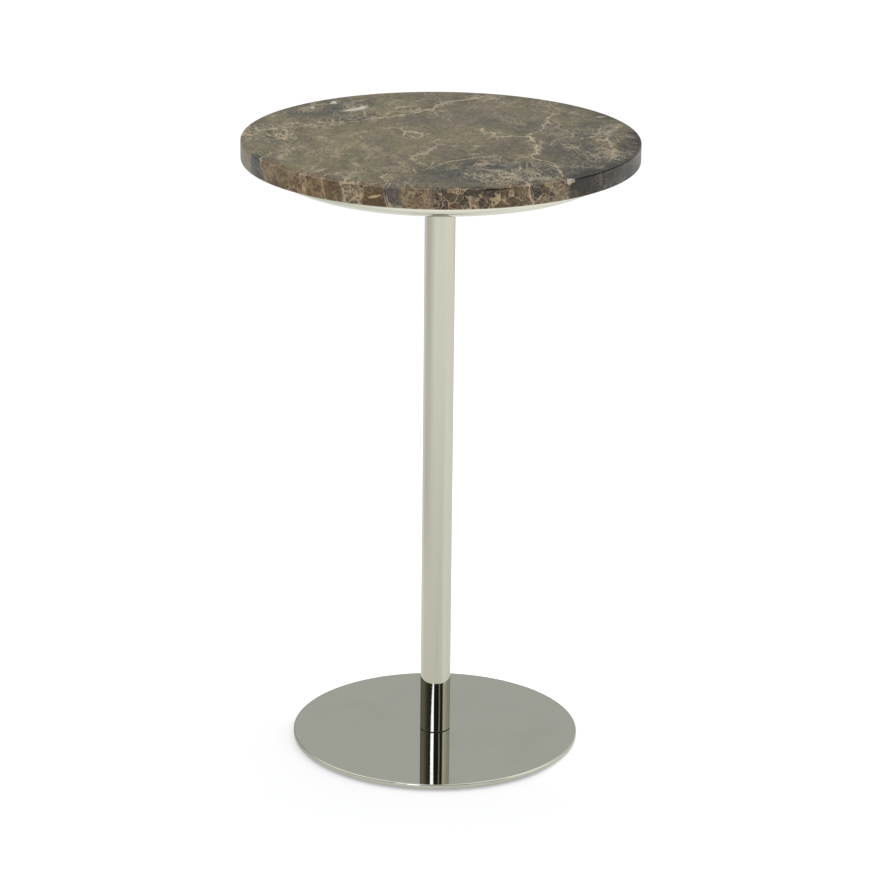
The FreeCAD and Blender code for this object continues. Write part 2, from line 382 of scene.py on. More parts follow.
@dataclass(frozen=True)
class Drift:
    """A wandering of places: waves per metre, octaves, and how far it goes either way in metres."""

    scale: float
    detail: float
    reach: float

    def of(self, graph: Graph, place: Field) -> Field:
        """The vector that each place wanders by.

        Args:
            graph: the tree that the pattern is laid in.
            place: where the pattern is read.

        Returns:
            The vector, in metres.
        """
        inputs = {"Vector": place, "Scale": self.scale, "Detail": self.detail}
        wander = graph.field("ShaderNodeTexNoise", {}, inputs, "Color")
        return (wander - (0.5, 0.5, 0.5)) * (2.0 * self.reach)


@dataclass(frozen=True)
class Threads:
    """Thin lines where a noise crosses its middle level; core and edge are their fade on either side."""

    scale: float
    detail: float
    roughness: float
    core: float
    edge: float
    shift: Optional[Triple] = None

    def share(self, graph: Graph, place: Field) -> Field:
        """The lines' share at each place.

        Args:
            graph: the tree that the pattern is laid in.
            place: where the pattern is read.

        Returns:
            The share, from 0 to 1.
        """
        where = place + self.shift if self.shift else place
        level = graph.noise(where, self.scale, self.detail, self.roughness)
        return abs(level - 0.5).fall(self.core, self.edge)


@dataclass(frozen=True)
class Cracks:
    """Lines on the borders of a cell pattern: cells per metre and half the lines' thickness in metres.

    The lines fade from core to edge and run in wider strips; all three are shares of that half thickness.
    """

    cells: float
    half_width: float
    core: float = 0.2
    edge: float = 0.9
    strip: float = 3.2

    def _measure(self, graph: Graph, place: Field, thickness: Field) -> Tuple[Field, Field]:
        """How far a place is from the nearest border, and the lines' half thickness, both in cells."""
        reach = thickness * (self.half_width * self.cells)
        return graph.cells(place, self.cells, "Distance", "DISTANCE_TO_EDGE"), reach

    def lines(self, graph: Graph, place: Field, thickness: Field) -> Field:
        """The lines' share at each place, from 0 to 1; thickness is about 1."""
        distance, reach = self._measure(graph, place, thickness)
        return distance.fall(reach * self.core, reach * self.edge)

    def lines_and_strips(self, graph: Graph, place: Field, thickness: Field) -> Tuple[Field, Field]:
        """The lines, and the wider strips that they run in.

        Args:
            graph: the tree that the pattern is laid in.
            place: where the pattern is read.
            thickness: how thick lines are at each place, about 1.

        Returns:
            Shares from 0 to 1 of the lines and of the strips.
        """
        distance, reach = self._measure(graph, place, thickness)
        lines = distance.fall(reach * self.core, reach * self.edge)
        return lines, distance.fall(0.0, reach * self.strip)


class Finish:
    """A surface finish that becomes one material."""

    name: str

    def paint(self, graph: Graph) -> Dict[str, Operand]:
        """Values and fields for the Principled shader's sockets, by name."""
        raise NotImplementedError

    def surface(self, graph: Graph, shader: Field) -> Field:
        """What the material shows: the Principled shader, unless a finish adds to it."""
        return shader

    def material(self) -> bpy.types.Material:
        """The finish's material, made on first use.

        Returns:
            The material.
        """
        known = bpy.data.materials.get(self.name)
        if known:
            return known
        made = bpy.data.materials.new(self.name)
        made.use_nodes = True
        made.node_tree.nodes.clear()
        graph = Graph(made.node_tree)
        shader = graph.field("ShaderNodeBsdfPrincipled", {}, self.paint(graph))
        graph.node("ShaderNodeOutputMaterial", {}, {"Surface": self.surface(graph, shader)})
        return made


@dataclass(frozen=True)
class PolishedNickel(Finish):
    """Mirror-polished nickel plate with a faint ripple, haze, hairline polishing marks and painted shade at
    a seam.

    All waves are per metre along X, Y and Z. A seam is the height just above which the nickel is painted
    dark, a painted shade in the joint.
    """

    name: str = "mirror_nickel"
    tint: Colour = (0.475, 0.470, 0.398)
    haze_tint: Colour = (0.455, 0.450, 0.380)
    grazing_tint: Colour = (0.74, 0.74, 0.73)
    seam_shade: Colour = (0.030, 0.026, 0.020)
    mirror_roughness: float = 0.03
    haze_roughness: float = 0.03
    mark_roughness: float = 0.012
    ripple_octaves: float = 1.0
    ripple_height: float = 0.00002
    ripple_waves: Triple = (22.0, 22.0, 22.0)
    haze_waves: Triple = (14.0, 14.0, 14.0)
    mark_waves: Triple = (900.0, 900.0, 40.0)
    haze: Clouds = Clouds(1.0, 4.0, 0.6, 0.45, 0.75)
    seam: Optional[float] = None
    seam_fade: Point = (0.00005, 0.0003)

    def paint(self, graph: Graph) -> Dict[str, Operand]:
        """A clear mirror with slight haze and ripple, and painted shade at a seam.

        Args:
            graph: the material's tree.

        Returns:
            The Principled shader's sockets.
        """
        place = graph.coordinates()
        haze = self.haze.share(graph, place * self.haze_waves)
        marks = graph.noise(place * self.mark_waves, 1.0)
        ripple = graph.noise(place * self.ripple_waves, 1.0, self.ripple_octaves)
        skin = graph.mix(haze, self.tint, self.haze_tint)
        # Painted shade: the base colour turns dark just above the seam, standing in for shade in the joint
        if self.seam is not None:
            near, far = self.seam_fade
            seam_shade_share = place.part("Z").fall(self.seam + near, self.seam + far)
            skin = graph.mix(seam_shade_share, skin, self.seam_shade)
        return {
            "Base Color": skin,
            "Metallic": 1.0,
            "Specular Tint": (*self.grazing_tint, 1.0),
            "Roughness": self.mirror_roughness + haze * self.haze_roughness + marks * self.mark_roughness,
            "Normal": graph.bump(ripple, self.ripple_height),
        }


class Zone(Enum):
    """What a patch of the stone is like."""

    GREY = "grey"
    DARK = "dark"
    BROWN = "brown"
    MAUVE = "mauve"
    TAN = "tan"
    CRACKLE = "crackle"
    LACE = "lace"
    BRECCIA = "breccia"
    FLECK = "fleck"
    # Painted shade: a dark line on the arris, standing in for the dark room that it reflects
    PAINTED_SHADE_ARRIS = "arris"


@dataclass(frozen=True)
class Patch:
    """An oval on the stone, in millimetres from its centre, with +X right and +Y back.

    A layer is its depth below the top face and half its height; the usual one goes right through the stone.
    """

    zone: Zone
    centre: Point
    radii: Point
    turn_deg: float = 0.0
    strength: float = 1.0
    soft: Point = (0.5, 1.15)
    layer: Point = (0.0, 1.0e5)

    def mask(self, graph: Graph, place: Field) -> Field:
        """1 in the middle of the oval and 0 outside it.

        Args:
            graph: the stone's tree.
            place: places on the stone in metres, with Z as the depth below its top face.

        Returns:
            The oval's share at each place.
        """
        depth, half_height = self.layer
        centre = (*self.centre, -depth)
        oval = graph.oval(place, centre, (*self.radii, half_height), (0.0, 0.0, self.turn_deg))
        return oval.fall(*self.soft) * self.strength


@dataclass(frozen=True)
class Spot:
    """Places on the stone: in metres, as degrees right of the front and as metres in from the rim."""

    place: Field
    bearing: Field
    inset: Field


@dataclass(frozen=True)
class Stretch:
    """A stretch of the stone's edge between two bearings, in degrees right of the front.

    It reaches in from the rim by so many millimetres, and fades outside its core.
    """

    zone: Zone
    first_deg: float
    last_deg: float
    strength: float = 1.0
    soft_deg: float = 0.8
    reach: float = 12.0
    core: float = 0.3

    def mask(self, spot: Spot) -> Field:
        """1 within the stretch and 0 outside it."""
        inwards = spot.inset.fall(self.reach * self.core * MILLIMETRE, self.reach * MILLIMETRE)
        return spot.bearing.band(self.first_deg, self.last_deg, self.soft_deg) * inwards * self.strength


@dataclass(frozen=True)
class Vein:
    """A vein from one point to another, in millimetres, bowed sideways by offsets at even steps.

    Width and halo are its line's and its band's. It fades at both ends, given as shares of its run.
    """

    start: Point
    end: Point
    offsets: Tuple[float, ...]
    width: float
    strength: float = 1.0
    halo: float = 9.0
    reach: float = 60.0
    ends: Triple = (0.02, 0.98, 0.06)
    half_share: float = 0.75
    core: float = 0.25

    def masks(self, graph: Graph, place: Field, thickness: Field) -> Tuple[Field, Field]:
        """The vein's line and the paler, busier band along it.

        Args:
            graph: the stone's tree.
            place: places on the stone, in metres.
            thickness: how thick veins are at each place, about 1.

        Returns:
            Shares from 0 to 1 of the line and of the band.
        """
        run = (Vector(self.end) - Vector(self.start)) * MILLIMETRE
        along = run.normalized()
        across = Vector((-along.y, along.x))
        origin = Vector(self.start) * MILLIMETRE
        travel = (place.dot((*along, 0.0)) - origin.dot(along)) / run.length
        bows = (0.0, *self.offsets, 0.0)
        points = [(k / (len(bows) - 1), 0.5 + bow / (2.0 * self.reach)) for k, bow in enumerate(bows)]
        bow = graph.field("ShaderNodeFloatCurve", {"points": points}, {"Value": travel})
        bow_metres = (bow - 0.5) * (2.0 * self.reach * MILLIMETRE)
        distance = abs(place.dot((*across, 0.0)) - origin.dot(across) - bow_metres)
        share = travel.band(*self.ends) * self.strength
        half = thickness * (self.width * self.half_share * MILLIMETRE)
        line = distance.fall(half * self.core, half) * share
        return line, distance.fall(0.0, self.halo * MILLIMETRE) * share


STONE_PATCHES: Tuple[Patch, ...] = (
    Patch(Zone.GREY, (-92, 82), (34, 14), 22, 1.0, (0.7, 1.1)),
    Patch(Zone.GREY, (-115, 128), (74, 40), 30, 0.7),
    Patch(Zone.GREY, (68, -132), (102, 52), 5, 1.0),
    Patch(Zone.GREY, (-168, 20), (40, 56), 0, 0.4),
    Patch(Zone.GREY, (40, -62), (34, 20), 0, 0.15),
    Patch(Zone.GREY, (132, -30), (34, 66), 0, 0.7),
    Patch(Zone.GREY, (150, 120), (50, 40), 0, 0.45),
    Patch(Zone.GREY, (160, 30), (34, 60), 0, 0.55),
    Patch(Zone.GREY, (166, -90), (44, 44), 0, 1.0),
    Patch(Zone.GREY, (-158, -84), (34, 34), 0, 0.35),
    Patch(Zone.GREY, (-20, 165), (70, 26), 0, 0.3),
    Patch(Zone.GREY, (100, 158), (60, 34), -20, 0.35),
    Patch(Zone.GREY, (100, 46), (34, 30), 0, 0.4),
    Patch(Zone.DARK, (198, -36), (24, 46), 0, 0.7),
    Patch(Zone.DARK, (172, 98), (16, 20), 30, 0.6),
    Patch(Zone.MAUVE, (44, 96), (58, 44), 10, 0.9),
    Patch(Zone.MAUVE, (108, 52), (26, 40), 15, 0.8),
    Patch(Zone.MAUVE, (-30, 72), (34, 30), 0, 0.6),
    Patch(Zone.MAUVE, (-30, -168), (18, 16), 0, 0.9, (0.7, 1.1)),
    Patch(Zone.MAUVE, (-28, -120), (16, 20), 0, 0.7),
    Patch(Zone.CRACKLE, (-176, 14), (44, 56), 0, 0.85),
    Patch(Zone.CRACKLE, (-130, 52), (60, 22), 25, 0.7),
    Patch(Zone.CRACKLE, (159, -8), (19, 84), -4, 0.65),
    Patch(Zone.CRACKLE, (128, 20), (16, 30), 20, 0.5),
    Patch(Zone.CRACKLE, (80, -154), (58, 36), 5, 0.65),
    Patch(Zone.CRACKLE, (35, -95), (60, 24), 10, 0.5),
    Patch(Zone.CRACKLE, (-110, 135), (66, 40), 20, 0.5),
    Patch(Zone.CRACKLE, (-60, -140), (34, 24), 0, 0.5),
    Patch(Zone.CRACKLE, (-85, -60), (60, 40), 0, 0.35),
    Patch(Zone.CRACKLE, (90, 150), (70, 40), -30, 0.35),
    Patch(Zone.LACE, (-176, 18), (36, 40), 0, 0.8),
    Patch(Zone.LACE, (-130, 52), (50, 14), 25, 0.6),
    Patch(Zone.LACE, (160, -14), (15, 56), -4, 0.42),
    Patch(Zone.LACE, (70, -146), (70, 40), 5, 0.38),
    Patch(Zone.FLECK, (-92, 117), (14, 6), 38, 1.0),
    Patch(Zone.FLECK, (-82, 128), (9, 5), 55, 0.9),
    Patch(Zone.FLECK, (-112, 147), (4, 10), 12, 0.8),
    Patch(Zone.FLECK, (-136, 124), (3, 7), 0, 0.7),
    Patch(Zone.FLECK, (52, 25), (4, 6), 20, 0.4),
    Patch(Zone.LACE, (50, 25), (16, 12), 0, 0.9),
    Patch(Zone.FLECK, (165, 98), (5, 9), -50, 0.6),
    Patch(Zone.FLECK, (126, -160), (8, 6), 20, 0.66, (0.5, 1.1), (1.5, 5.0)),
)

STONE_EDGE: Tuple[Stretch, ...] = (
    Stretch(Zone.TAN, -100, -71, 0.2, 3.0),
    Stretch(Zone.TAN, -29, -24, 0.5, 1.0),
    Stretch(Zone.GREY, -70, -61.5, 1.0, 1.5),
    Stretch(Zone.BROWN, -60.5, -16.5, 1.0, 0.8, 16.0),
    Stretch(Zone.CRACKLE, -60.5, -30, 0.35),
    Stretch(Zone.LACE, -60.5, -58, 0.8),
    Stretch(Zone.LACE, -40, -34, 0.4),
    Stretch(Zone.LACE, -29, -24, 1.0),
    Stretch(Zone.MAUVE, -16.5, -11.5, 1.0, 0.4),
    Stretch(Zone.DARK, -16.5, -11.5, 0.25, 0.4),
    Stretch(Zone.BROWN, -11.5, 38, 1.0, 0.6, 16.0),
    Stretch(Zone.LACE, -11.5, -4, 0.55),
    Stretch(Zone.DARK, -3.4, -0.6, 0.8, 0.4),
    Stretch(Zone.BRECCIA, -4, 38, 1.0, 1.0, 14.0),
    Stretch(Zone.LACE, 24, 28, 0.4, 1.0, 16.0),
    Stretch(Zone.DARK, 28, 37, 0.4, 1.0, 16.0),
    Stretch(Zone.DARK, 37.5, 53, 1.0, 0.5, 18.0),
    Stretch(Zone.GREY, 52, 100, 1.0, 1.5, 24.0),
    Stretch(Zone.DARK, 53, 64, 1.0, 2.0),
    Stretch(Zone.DARK, 64, 100, 0.85, 2.0),
    # Stretches where the arris gets painted shade
    Stretch(Zone.PAINTED_SHADE_ARRIS, 11, 20, 0.8, 1.0, 30.0),
    Stretch(Zone.PAINTED_SHADE_ARRIS, 41, 118, 1.0, 4.0, 30.0),
)

STONE_VEINS: Tuple[Vein, ...] = (
    Vein((-204, 2), (-64, 92), (8, 4, 6, -8), 2.2, 0.75, 16.0),
    Vein((-72, 78), (52, 190), (-6, -8, 2, 1), 4.6, 0.68, 14.0),
    Vein((-60, 94), (-14, 118), (10, 8), 1.6, 0.6, 7.0),
    Vein((-48, 112), (-22, 130), (11, 12), 1.6, 0.8, 4.0),
    Vein((-48, 112), (-22, 130), (-9, -9), 1.6, 0.8, 4.0),
    Vein((-48, 64), (-32, 20), (2, -2), 1.0, 0.5, 6.0),
    Vein((-38, 28), (-24, -4), (10, 12), 1.6, 0.8, 6.0),
    Vein((-36, 30), (-22, 0), (-6, -5), 1.4, 0.7, 6.0),
    Vein((8, 12), (-30, -96), (-4, 3, -3), 1.2, 0.6, 8.0),
    Vein((-2, -22), (-24, -74), (-1, 2), 5.0, 0.5, 8.0),
    Vein((-8, -96), (-16, -130), (2, 4), 1.4, 0.7, 8.0),
    Vein((42, 46), (54, 14), (-2, 3), 1.8, 0.8, 6.0),
    Vein((44, 20), (92, 6), (-5, 1), 1.5, 0.8, 6.0),
    Vein((122, 112), (92, 20), (-4, 2, 3), 1.2, 0.75, 7.0),
    Vein((93, 28), (92, -66), (-2, 4, 3), 1.9, 0.85, 10.0),
    Vein((91, -60), (116, -116), (-5, 3), 2.0, 0.8, 8.0),
    Vein((-8, -128), (62, -72), (16, 14), 1.6, 0.75, 8.0),
    Vein((-48, -136), (-62, -206), (-3, 3), 1.2, 0.7, 7.0),
    Vein((74, -128), (88, -204), (-5, 3), 1.6, 0.8, 8.0),
    Vein((132, -172), (104, -96), (4, -3), 1.6, 0.75, 8.0),
    Vein((-160, 10), (-158, -60), (-5, 5), 1.2, 0.55, 8.0),
    Vein((-176, -104), (-172, -60), (3, -3), 1.6, 0.6, 5.0),
    Vein((185, 60), (164, -90), (-10, -6, 4), 1.6, 0.7, 10.0),
    Vein((-112, -128), (-146, -164), (3, -3), 1.6, 0.8, 4.0),
    Vein((-104, -146), (-128, -178), (-3, 3), 1.4, 0.7, 4.0),
    Vein((-92, -164), (-104, -196), (2, -2), 1.4, 0.8, 4.0),
    Vein((-74, -170), (-86, -204), (-2, 2), 1.4, 0.8, 4.0),
    Vein((-50, -180), (-58, -210), (1, -1), 1.4, 0.8, 4.0),
    Vein((150, -120), (176, -140), (-2, 2), 1.2, 0.6, 4.0),
)


@dataclass(frozen=True)
class BrownMarble(Finish):
    """Polished dark brown marble: clouded ground, clasts, a crackle of pale veins and a few long ones.

    Top, bottom and rim are the stone's heights and radius in metres. Pairs of levels are where a share rises
    from 0 to 1, and triples of levels are a band and its soft edge. Depths count down from the top face.
    """

    name: str = "veined_brown_marble"
    top: float = 0.0
    bottom: float = 0.0
    rim: float = 0.0
    patches: Tuple[Patch, ...] = STONE_PATCHES
    edge: Tuple[Stretch, ...] = STONE_EDGE
    veins: Tuple[Vein, ...] = STONE_VEINS

    # Colours of the ground, then of what lies in it and over it
    olive: Colour = (0.186, 0.157, 0.082)
    umber: Colour = (0.170, 0.136, 0.072)
    mauve: Colour = (0.140, 0.116, 0.080)
    brown: Colour = (0.125, 0.075, 0.025)
    grey: Colour = (0.052, 0.056, 0.042)
    dark: Colour = (0.026, 0.021, 0.014)
    tan: Colour = (0.260, 0.212, 0.118)
    rust: Colour = (0.110, 0.050, 0.026)
    cream: Colour = (0.620, 0.500, 0.320)
    amber: Colour = (0.610, 0.455, 0.260)
    chalk: Colour = (0.520, 0.490, 0.400)
    straw: Colour = (0.430, 0.330, 0.150)

    # How far patterns lean with the depth, wander and are squeezed
    dip: Point = (0.30, -0.20)
    small_drift: Drift = Drift(46.0, 3.0, 0.007)
    tiny_drift: Drift = Drift(190.0, 3.0, 0.0022)
    wide_drift: Drift = Drift(9.0, 2.0, 0.022)
    squeeze: Triple = (1.0, 0.6, 1.0)
    grain_squeeze: Triple = (1.0, 0.55, 1.0)

    # Soft patterns that several layers share, and how thick they make the lines
    face_depth: Point = (-0.0018, -0.0006)
    mottle: Clouds = Clouds(95.0, 6.0, 0.7, 0.30, 0.70)
    grain: Clouds = Clouds(330.0, 4.0, 0.75, 0.30, 0.70)
    swell: Clouds = Clouds(80.0, 3.0, 0.5, 0.30, 0.70)
    thickness: Growth = Growth(0.25, 1.5)

    # The ground: clouds, large shaded cells, small chips of breccia, and painted shade that darkens it
    # towards the right front
    cloud: Clouds = Clouds(18.0, 5.0, 0.6, 0.38, 0.66)
    shade_cells: float = 34.0
    dusky_shades: Triple = (0.20, 0.42, 0.05)
    dusky_share: float = 0.6
    grey_shades: Point = (0.6, 0.95)
    grey_shade_share: float = 0.35
    grey_zone_share: float = 0.95
    chip_cells: float = 84.0
    clast_chips: Point = (0.34, 0.40)
    rust_chips: Triple = (0.47, 0.55, 0.01)
    rust_share: float = 0.7
    sooty_chips: Point = (0.55, 0.59)
    thin_soot_chips: Point = (0.77, 0.81)
    soot: Growth = Growth(0.8, -0.4)
    # Painted shade: the ground darkens towards the right front, standing in for a darker reflection on that
    # side
    painted_shade_way: Triple = (0.6, -0.8, 0.0)
    painted_shade_span: Point = (-0.02, 0.13)
    painted_shade_share: float = 0.22
    ground_level: float = 0.50
    shade_gain: float = 0.10
    mottle_gain: float = 0.26
    grain_gain: float = 0.50

    # The net of pale lines, each with where it shows and its share
    patch_waves: Triple = (30.0, 4.0, 0.6)
    wisp: Threads = Threads(26.0, 7.0, 0.62, 0.003, 0.013)
    wisp_patches: Point = (0.44, 0.62)
    wisp_share: float = 0.48
    hair: Threads = Threads(75.0, 6.0, 0.62, 0.004, 0.018, (3.0, 1.0, 2.0))
    hair_share: Growth = Growth(0.26, 0.4)
    coarse: Cracks = Cracks(26.0, 0.0013)
    coarse_patches: Point = (0.48, 0.60)
    coarse_share: float = 0.5
    medium: Cracks = Cracks(48.0, 0.0014)
    medium_share: float = 0.9
    fine: Cracks = Cracks(110.0, 0.0010)
    fine_share: float = 0.85
    lace_patches: Point = (0.40, 0.54)
    lace_share: Growth = Growth(0.08, 0.9)
    shell: Cracks = Cracks(84.0, 0.0006)
    shell_mottles: Point = (0.0, 0.7)
    shell_share: float = 0.8
    dust: Cracks = Cracks(240.0, 0.00034)
    dust_mottles: Point = (0.2, 0.6)
    swirl: Threads = Threads(120.0, 4.0, 0.6, 0.0, 0.022, (1.0, 4.0, 2.0))
    clast_cover: Growth = Growth(1.0, -0.9)
    crumb_on_face: Growth = Growth(1.0, -0.7)
    crumb_cracks: float = 0.7
    crumble_share: float = 0.95

    # Straight scratches: the turn in degrees and the cells of each set
    scratches: Tuple[Point, ...] = ((24.0, 60.0), (-38.0, 52.0), (74.0, 56.0))
    scratch_squeeze: Triple = (1.0, 0.22, 1.0)
    scratch_half_width: float = 0.00028
    scratch_thickness: Growth = Growth(1.0, 0.786)
    scratch_patches: Point = (0.42, 0.56)
    scratch_greys: Point = (0.35, 0.9)
    scratch_zones: Growth = Growth(0.16, 0.7)
    scratch_share: float = 0.75

    # How the net lies over the ground
    edging_left: Growth = Growth(1.0, -0.32)
    busy_mottles: Point = (0.5, 1.0)
    busy_share: float = 0.12
    net_in_dark: Growth = Growth(1.0, -0.7)
    amber_share: float = 0.8
    net_cover: Growth = Growth(0.55, 0.45)

    # A slanted splinter in the edge, in millimetres from the middle of the top face, and pale flecks
    splinter_at: Triple = (-63.5, -193.0, -10.0)
    splinter_size: Triple = (7.5, 9.0, 1.5)
    splinter_turn_deg: Triple = (0.0, -22.0, 18.0)
    splinter_drift: Drift = Drift(260.0, 2.0, 0.0009)
    splinter_fade: Point = (0.75, 1.0)
    splinter_share: float = 0.9
    fleck_mottle: Growth = Growth(0.55, 0.7)
    fleck_levels: Point = (0.2, 0.85)
    fleck_amber_share: float = 0.6

    # The polish, the dull rim, painted shade on the arris and the honed underside
    honed_height: Point = (0.0004, 0.0012)
    honed_dust_share: float = 0.35
    honed_roughness: float = 0.5
    rim_inset: Point = (0.0012, 0.0004)
    rim_roughness: float = 0.34
    painted_arris_shade_inset: Point = (0.0015, 0.0008)
    painted_arris_shade_depth: Point = (-0.0018, -0.0010)
    painted_arris_shade_net: Growth = Growth(1.0, -0.5)
    painted_arris_shade_left: Growth = Growth(1.0, -0.75)
    painted_arris_shade_metallic: float = 0.95
    face_roughness: float = 0.09
    net_roughness: float = 0.06
    mottle_roughness: float = 0.04
    polish_waves: float = 300.0
    polish_height: float = 0.00001
    refraction: float = 1.36

    def paint(self, graph: Graph) -> Dict[str, Operand]:
        """The pattern's sockets, laid in the material's tree."""
        return MarblePattern(self, graph).sockets()


class MarblePattern:
    """Lays the marble's pattern in a tree, layer by layer.

    Zones are laid only where a layer needs them, because the renderer can hold few values at once.
    """

    def __init__(self, stone: BrownMarble, graph: Graph) -> None:
        """Works out where the patterns are read and the soft patterns that several layers share.

        Args:
            stone: the finish, with its sizes, colours and zones.
            graph: the material's tree.
        """
        self.stone = stone
        self.graph = graph
        self.raw = graph.coordinates() - (0.0, 0.0, stone.top)
        self.depth = self.raw.part("Z")
        leans = {axis: self.depth * share for axis, share in enumerate(stone.dip)}
        lean = graph.field("ShaderNodeCombineXYZ", {}, leans)
        small = stone.small_drift.of(graph, self.raw)
        tiny = stone.tiny_drift.of(graph, self.raw)
        self.wide = stone.wide_drift.of(graph, self.raw)
        placed = self.raw + lean + small + tiny
        self.tight = self.raw + self.wide + small + tiny
        self.loose = self.raw * stone.squeeze + self.wide + small + tiny
        self.face = self.depth.rise(*stone.face_depth)
        self.mottle = stone.mottle.share(graph, self.loose)
        self.grain = stone.grain.share(graph, self.raw * stone.grain_squeeze)
        self.thickness = stone.thickness.of(stone.swell.share(graph, self.raw))
        inset = stone.rim - (placed * LEVEL_PLANE).length()
        self.spot = Spot(placed, graph.bearing(placed), inset)

    def sockets(self) -> Dict[str, Operand]:
        """Lays all layers in order.

        Returns:
            The Principled shader's sockets.
        """
        self._lay_veins()
        self._lay_ground()
        self._lay_net()
        self._lay_surface()
        return self._polish()

    def _zone(self, kind: Zone) -> Field:
        """The share of one zone at each place.

        Args:
            kind: the zone.

        Returns:
            The largest share of its patches and stretches, from 0 to 1.
        """
        stone, spot = self.stone, self.spot
        masks = [patch.mask(self.graph, spot.place) for patch in stone.patches if patch.zone is kind]
        masks += [stretch.mask(spot) for stretch in stone.edge if stretch.zone is kind]
        found = masks[0]
        for mask in masks[1:]:
            found = found.at_least(mask)
        return found

    def _lay_veins(self) -> None:
        """Lays the long veins' lines and bands, the busy zones and the breccia."""
        self.busy = self._zone(Zone.CRACKLE)
        first, *others = self.stone.veins
        self.line, self.band = first.masks(self.graph, self.spot.place, self.thickness)
        for vein in others:
            line, band = vein.masks(self.graph, self.spot.place, self.thickness)
            self.line = self.line.at_least(line)
            self.band = self.band.at_least(band)
        self.busy = self.busy.at_least(self.band)
        self.breccia = self._zone(Zone.BRECCIA)

    def _lay_ground(self) -> None:
        """Lays the clouded ground with its coloured patches, chips and dark zones, and painted shade towards
        the right front.
        """
        stone, graph = self.stone, self.graph
        cloud = stone.cloud.share(graph, self.loose)
        shade = graph.cells(self.loose, stone.shade_cells, "Color").part("X")
        chip = graph.cells(self.tight, stone.chip_cells, "Color").part("Y")
        self.clast = chip.rise(*stone.clast_chips)
        ground = graph.mix(cloud, stone.olive, stone.umber)
        dusky = self._zone(Zone.MAUVE).at_least(shade.band(*stone.dusky_shades) * stone.dusky_share)
        ground = graph.mix(dusky, ground, stone.mauve)
        ground = graph.mix(self._zone(Zone.BROWN), ground, stone.brown)
        ground = graph.mix(self._zone(Zone.TAN), ground, stone.tan)
        zone_grey = self._zone(Zone.GREY) * stone.grey_zone_share
        self.greyed = zone_grey + shade.rise(*stone.grey_shades) * stone.grey_shade_share
        ground = graph.mix(self.greyed.at_most(1.0), ground, stone.grey)
        rusty = chip.band(*stone.rust_chips) * self.breccia * stone.rust_share
        ground = graph.mix(rusty, ground, stone.rust)
        soot = stone.soot.of(chip.rise(*stone.thin_soot_chips))
        sooty = chip.rise(*stone.sooty_chips) * soot * self.breccia
        self.black = self._zone(Zone.DARK)
        ground = graph.mix((self.black + sooty).at_most(1.0), ground, stone.dark)
        # Painted shade: the ground is made darker towards the right front
        painted_ground_shade = self.raw.dot(stone.painted_shade_way).rise(*stone.painted_shade_span) * stone.painted_shade_share
        level = stone.ground_level + shade * stone.shade_gain + self.mottle * stone.mottle_gain
        self.ground = ground * (level + self.grain * stone.grain_gain - painted_ground_shade)

    def _lay_net(self) -> None:
        """Lays the net of pale lines, and the darker edging beside them."""
        stone, graph, thickness = self.stone, self.graph, self.thickness
        patchy = graph.noise(self.loose, *stone.patch_waves)
        wisp = stone.wisp.share(graph, self.loose) * patchy.rise(*stone.wisp_patches)
        hair = stone.hair.share(graph, self.loose) * self.mottle
        coarse = stone.coarse.lines(graph, self.loose, thickness)
        medium, medium_strip = stone.medium.lines_and_strips(graph, self.loose, thickness)
        fine, fine_strip = stone.fine.lines_and_strips(graph, self.loose, thickness)
        dust, dust_strip = stone.dust.lines_and_strips(graph, self.tight, thickness)
        shell, shell_strip = stone.shell.lines_and_strips(graph, self.tight, thickness)
        swirl = stone.swirl.share(graph, self.tight)
        crushed = self._zone(Zone.LACE).at_least(self.breccia * stone.clast_cover.of(self.clast))

        here = patchy.rise(*stone.lace_patches)
        lace = (medium * stone.medium_share).at_least(fine * stone.fine_share) * here
        lace_strip = medium_strip.at_least(fine_strip) * here
        net = self.line.at_least(coarse * patchy.rise(*stone.coarse_patches) * stone.coarse_share)
        net = net.at_least(wisp * stone.wisp_share).at_least(hair * stone.hair_share.of(self.busy))
        net = net.at_least(lace * stone.lace_share.of(self.busy))
        crumb = (dust * self.mottle.rise(*stone.dust_mottles)).at_least(swirl)
        crumb = crumb * stone.crumb_on_face.of(self.face)
        crumble = (fine * stone.crumb_cracks).at_least(crumb) * crushed
        net = self._scratch(net, patchy)
        net = net.at_least(shell * self.breccia * self.mottle.rise(*stone.shell_mottles) * stone.shell_share)
        self.net = net.at_least(crumble * stone.crumble_share)
        edging = self.band.at_least(lace_strip * self.busy)
        self.edging = edging.at_least(shell_strip.at_least(dust_strip) * crushed)

    def _scratch(self, net: Field, patchy: Field) -> Field:
        """Adds straight scratch-like cracks, most of all in the grey zones.

        Args:
            net: the net so far.
            patchy: a noise that leaves some places free.

        Returns:
            The net with the scratches.
        """
        stone, graph = self.stone, self.graph
        share = stone.scratch_zones.of(self.greyed.rise(*stone.scratch_greys))
        share = share * patchy.rise(*stone.scratch_patches)
        for turn_deg, cells in stone.scratches:
            place = graph.turned(self.raw + self.wide, turn_deg) * stone.scratch_squeeze
            thickness = stone.scratch_thickness.of(self.mottle)
            scratch = Cracks(cells, stone.scratch_half_width).lines(graph, place, thickness)
            net = net.at_least(scratch * share * stone.scratch_share)
        return net

